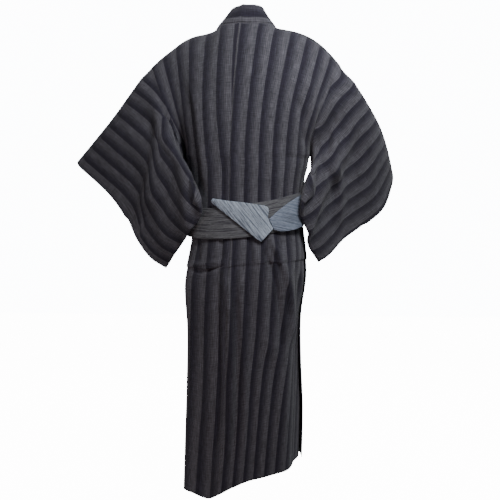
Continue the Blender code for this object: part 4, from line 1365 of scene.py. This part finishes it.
def make_knot_piece(name, table, outset, finish, streak_turn):
    """A folded stretch of the sash that lies on the part wound round the waist."""
    parts = np.linspace(0, 1, 25)
    turn = math.radians(streak_turn)
    rows = []
    flats = []
    for share in np.linspace(0, 1, 61):
        low = np.array([read(table, "low_along", share), read(table, "low_height", share)])
        high = np.array([read(table, "high_along", share), read(table, "high_height", share)])
        row = []
        flat = []
        for part in parts:
            along, height = low + (high - low) * part
            angle = math.degrees(float(section_angle(float(np.clip(height, -0.60, -0.46)), along)[0]))
            puff = KNOT_PUFF * math.sin(math.pi * part) ** 0.7
            row.append(sash_point(angle, float(height), outset + puff))
            flat.append((along * math.cos(turn) + height * math.sin(turn),
                         height * math.cos(turn) - along * math.sin(turn)))
        rows.append(row)
        flats.append(flat)
    patch = (np.array(rows), np.array(flats), True)
    piece = join_patches(name + "_cloth", [patch], KNOT_WALL * 0.9, finish)
    soften(piece, 0.0016, 3)
    keep(piece, [name])

# %% The knot's tongue and tail
# The knot is the sash cloth made lighter than the wound stretch: painted light on the tongue and the tail.
LIT_KNOT_LIGHT = (0.42, 0.48, 0.56)
# The tail's light tone is darker than the tongue's: painted shade on the tail.
SHADED_TAIL_LIGHT = (0.24, 0.28, 0.36)
LIT_KNOT_DARK = (0.12, 0.14, 0.18)
# The knot's tongue and tail: matching points of their lower and upper edges, as lengths along the sash from
# its rearmost point and as heights.
TONGUE = (
    ("share", "low_along", "low_height", "high_along", "high_height"),
    (0.00, 0.076, -0.4930, 0.072, -0.4860),
    (0.30, 0.036, -0.5270, 0.026, -0.4925),
    (0.60, -0.004, -0.5610, -0.034, -0.5010),
    (0.80, -0.033, -0.5860, -0.076, -0.5140),
    (0.91, -0.047, -0.5980, -0.075, -0.5410),
    (1.00, -0.059, -0.6060, -0.088, -0.5700),
)
TAIL = (
    ("share", "low_along", "low_height", "high_along", "high_height"),
    (0.00, -0.0905, -0.5720, -0.078, -0.5440),
    (0.40, -0.114, -0.5770, -0.110, -0.5130),
    (0.70, -0.146, -0.5720, -0.142, -0.4890),
    (1.00, -0.182, -0.5600, -0.184, -0.4660),
)
outset = (SASH_WALL + KNOT_WALL) / 2 + SEAM_GAP + 0.001
# The tongue and the tail get copies of the sash cloth made lighter, as painted light.
lit_knot_cloth = sash_material("lit_knot_cloth", LIT_KNOT_LIGHT, LIT_KNOT_DARK, weave)
# The tail's copy is darker than the tongue's: painted shade.
shaded_tail_cloth = sash_material("shaded_tail_cloth", SHADED_TAIL_LIGHT, LIT_KNOT_DARK, weave)
make_knot_piece("obi_tongue", TONGUE, outset, lit_knot_cloth, 55)
make_knot_piece("obi_tail", TAIL, outset, shaded_tail_cloth, 12)

# %% [markdown]
# ## The studio
# The photograph has a plain white ground. Floor and world are bright only where the camera sees them, and
# give the robe little light or none. Its light comes from a few soft square lamps.

# %% A strength that only the camera sees
SEEN_WHITE = 14.0


def seen_white(tree, plain):
    """A strength that is plain for the light it gives, and high where the camera sees it."""
    path = node(tree, "ShaderNodeLightPath")
    return between(tree, path.outputs["Is Camera Ray"], plain, SEEN_WHITE)

# %% The floor
FLOOR_GAP = 0.012
FLOOR_HALF = 9
floor_height = cad_box[0].z - FLOOR_GAP
signs = ((-1, -1), (1, -1), (1, 1), (-1, 1))
corners = [(FLOOR_HALF * x, FLOOR_HALF * y, floor_height) for x, y in signs]
floor_mesh = bpy.data.meshes.new("floor")
floor_mesh.from_pydata(corners, [], [(0, 1, 2, 3)])
pale, pale_tree, pale_shader = new_material("pale_floor")
set_inputs(pale_shader, {"Base Color": (0.86, 0.86, 0.86, 1.0), "Roughness": 0.9,
                         "Emission Color": (1.0, 1.0, 1.0, 1.0)})
pale_tree.links.new(seen_white(pale_tree, 0.0), pale_shader.inputs["Emission Strength"])
floor_mesh.materials.append(pale)
floor = add_object("floor", floor_mesh)
print("the floor lies at", round(floor_height, 3))

# %% The world
WORLD_STRENGTH = 0.10
world = bpy.data.worlds.new("studio")
world.use_nodes = True
background = world.node_tree.nodes["Background"]
background.inputs["Color"].default_value = (0.94, 0.96, 1.0, 1.0)
world.node_tree.links.new(seen_white(world.node_tree, WORLD_STRENGTH), background.inputs["Strength"])
bpy.context.scene.world = world

# %% The lights
LIGHTS = (
    ("name", "place", "target", "power", "size", "spread", "colour"),
    ("key", (-0.75, 1.15, 0.75), (-0.12, 0.0, -0.18), 6.6, 0.5, 78, (0.97, 0.98, 1.0)),
    ("fill", (2.2, 2.2, 0.0), (0.0, 0.0, -0.4), 3.2, 2.0, 120, (0.88, 0.92, 1.0)),
    ("front", (0.6, -2.8, 1.0), (0.0, 0.0, -0.6), 38.0, 1.6, 180, (1.0, 1.0, 1.0)),
    ("side", (-2.4, -0.7, -0.3), (0.0, 0.0, -0.6), 5.0, 1.6, 180, (0.95, 0.97, 1.0)),
    ("low", (0.6, 1.7, -1.25), (0.0, 0.0, -1.25), 1.5, 0.6, 120, (1.0, 0.45, 0.35)),
)


def add_area_light(name, place, target, power, size, spread, colour):
    """A soft square light."""
    data = bpy.data.lights.new(name, "AREA")
    data.color = colour
    data.energy = power
    data.size = size
    data.spread = math.radians(spread)
    light = add_object(name, data)
    light.location = place
    light.rotation_mode = "QUATERNION"
    light.rotation_quaternion = (Vector(target) - Vector(place)).to_track_quat("-Z", "Y")


for light_row in LIGHTS[1:]:
    add_area_light(*light_row)
print("lights:", [light_row[0] for light_row in LIGHTS[1:]])

# %% The camera
CAMERA_LENS = 81.97
CAMERA_SHIFT = 0.008
camera_data = bpy.data.cameras.new("camera")
camera_data.lens = CAMERA_LENS
camera_data.shift_x = CAMERA_SHIFT
camera = add_object("camera", camera_data)
turn = math.radians(CAMERA_AZIMUTH)
camera.location = (CAMERA_DISTANCE * math.sin(turn), -CAMERA_DISTANCE * math.cos(turn), CAMERA_HEIGHT)
camera.rotation_euler = (math.pi / 2, 0.0, turn)
bpy.context.scene.camera = camera
print("the camera stands at", camera.location)
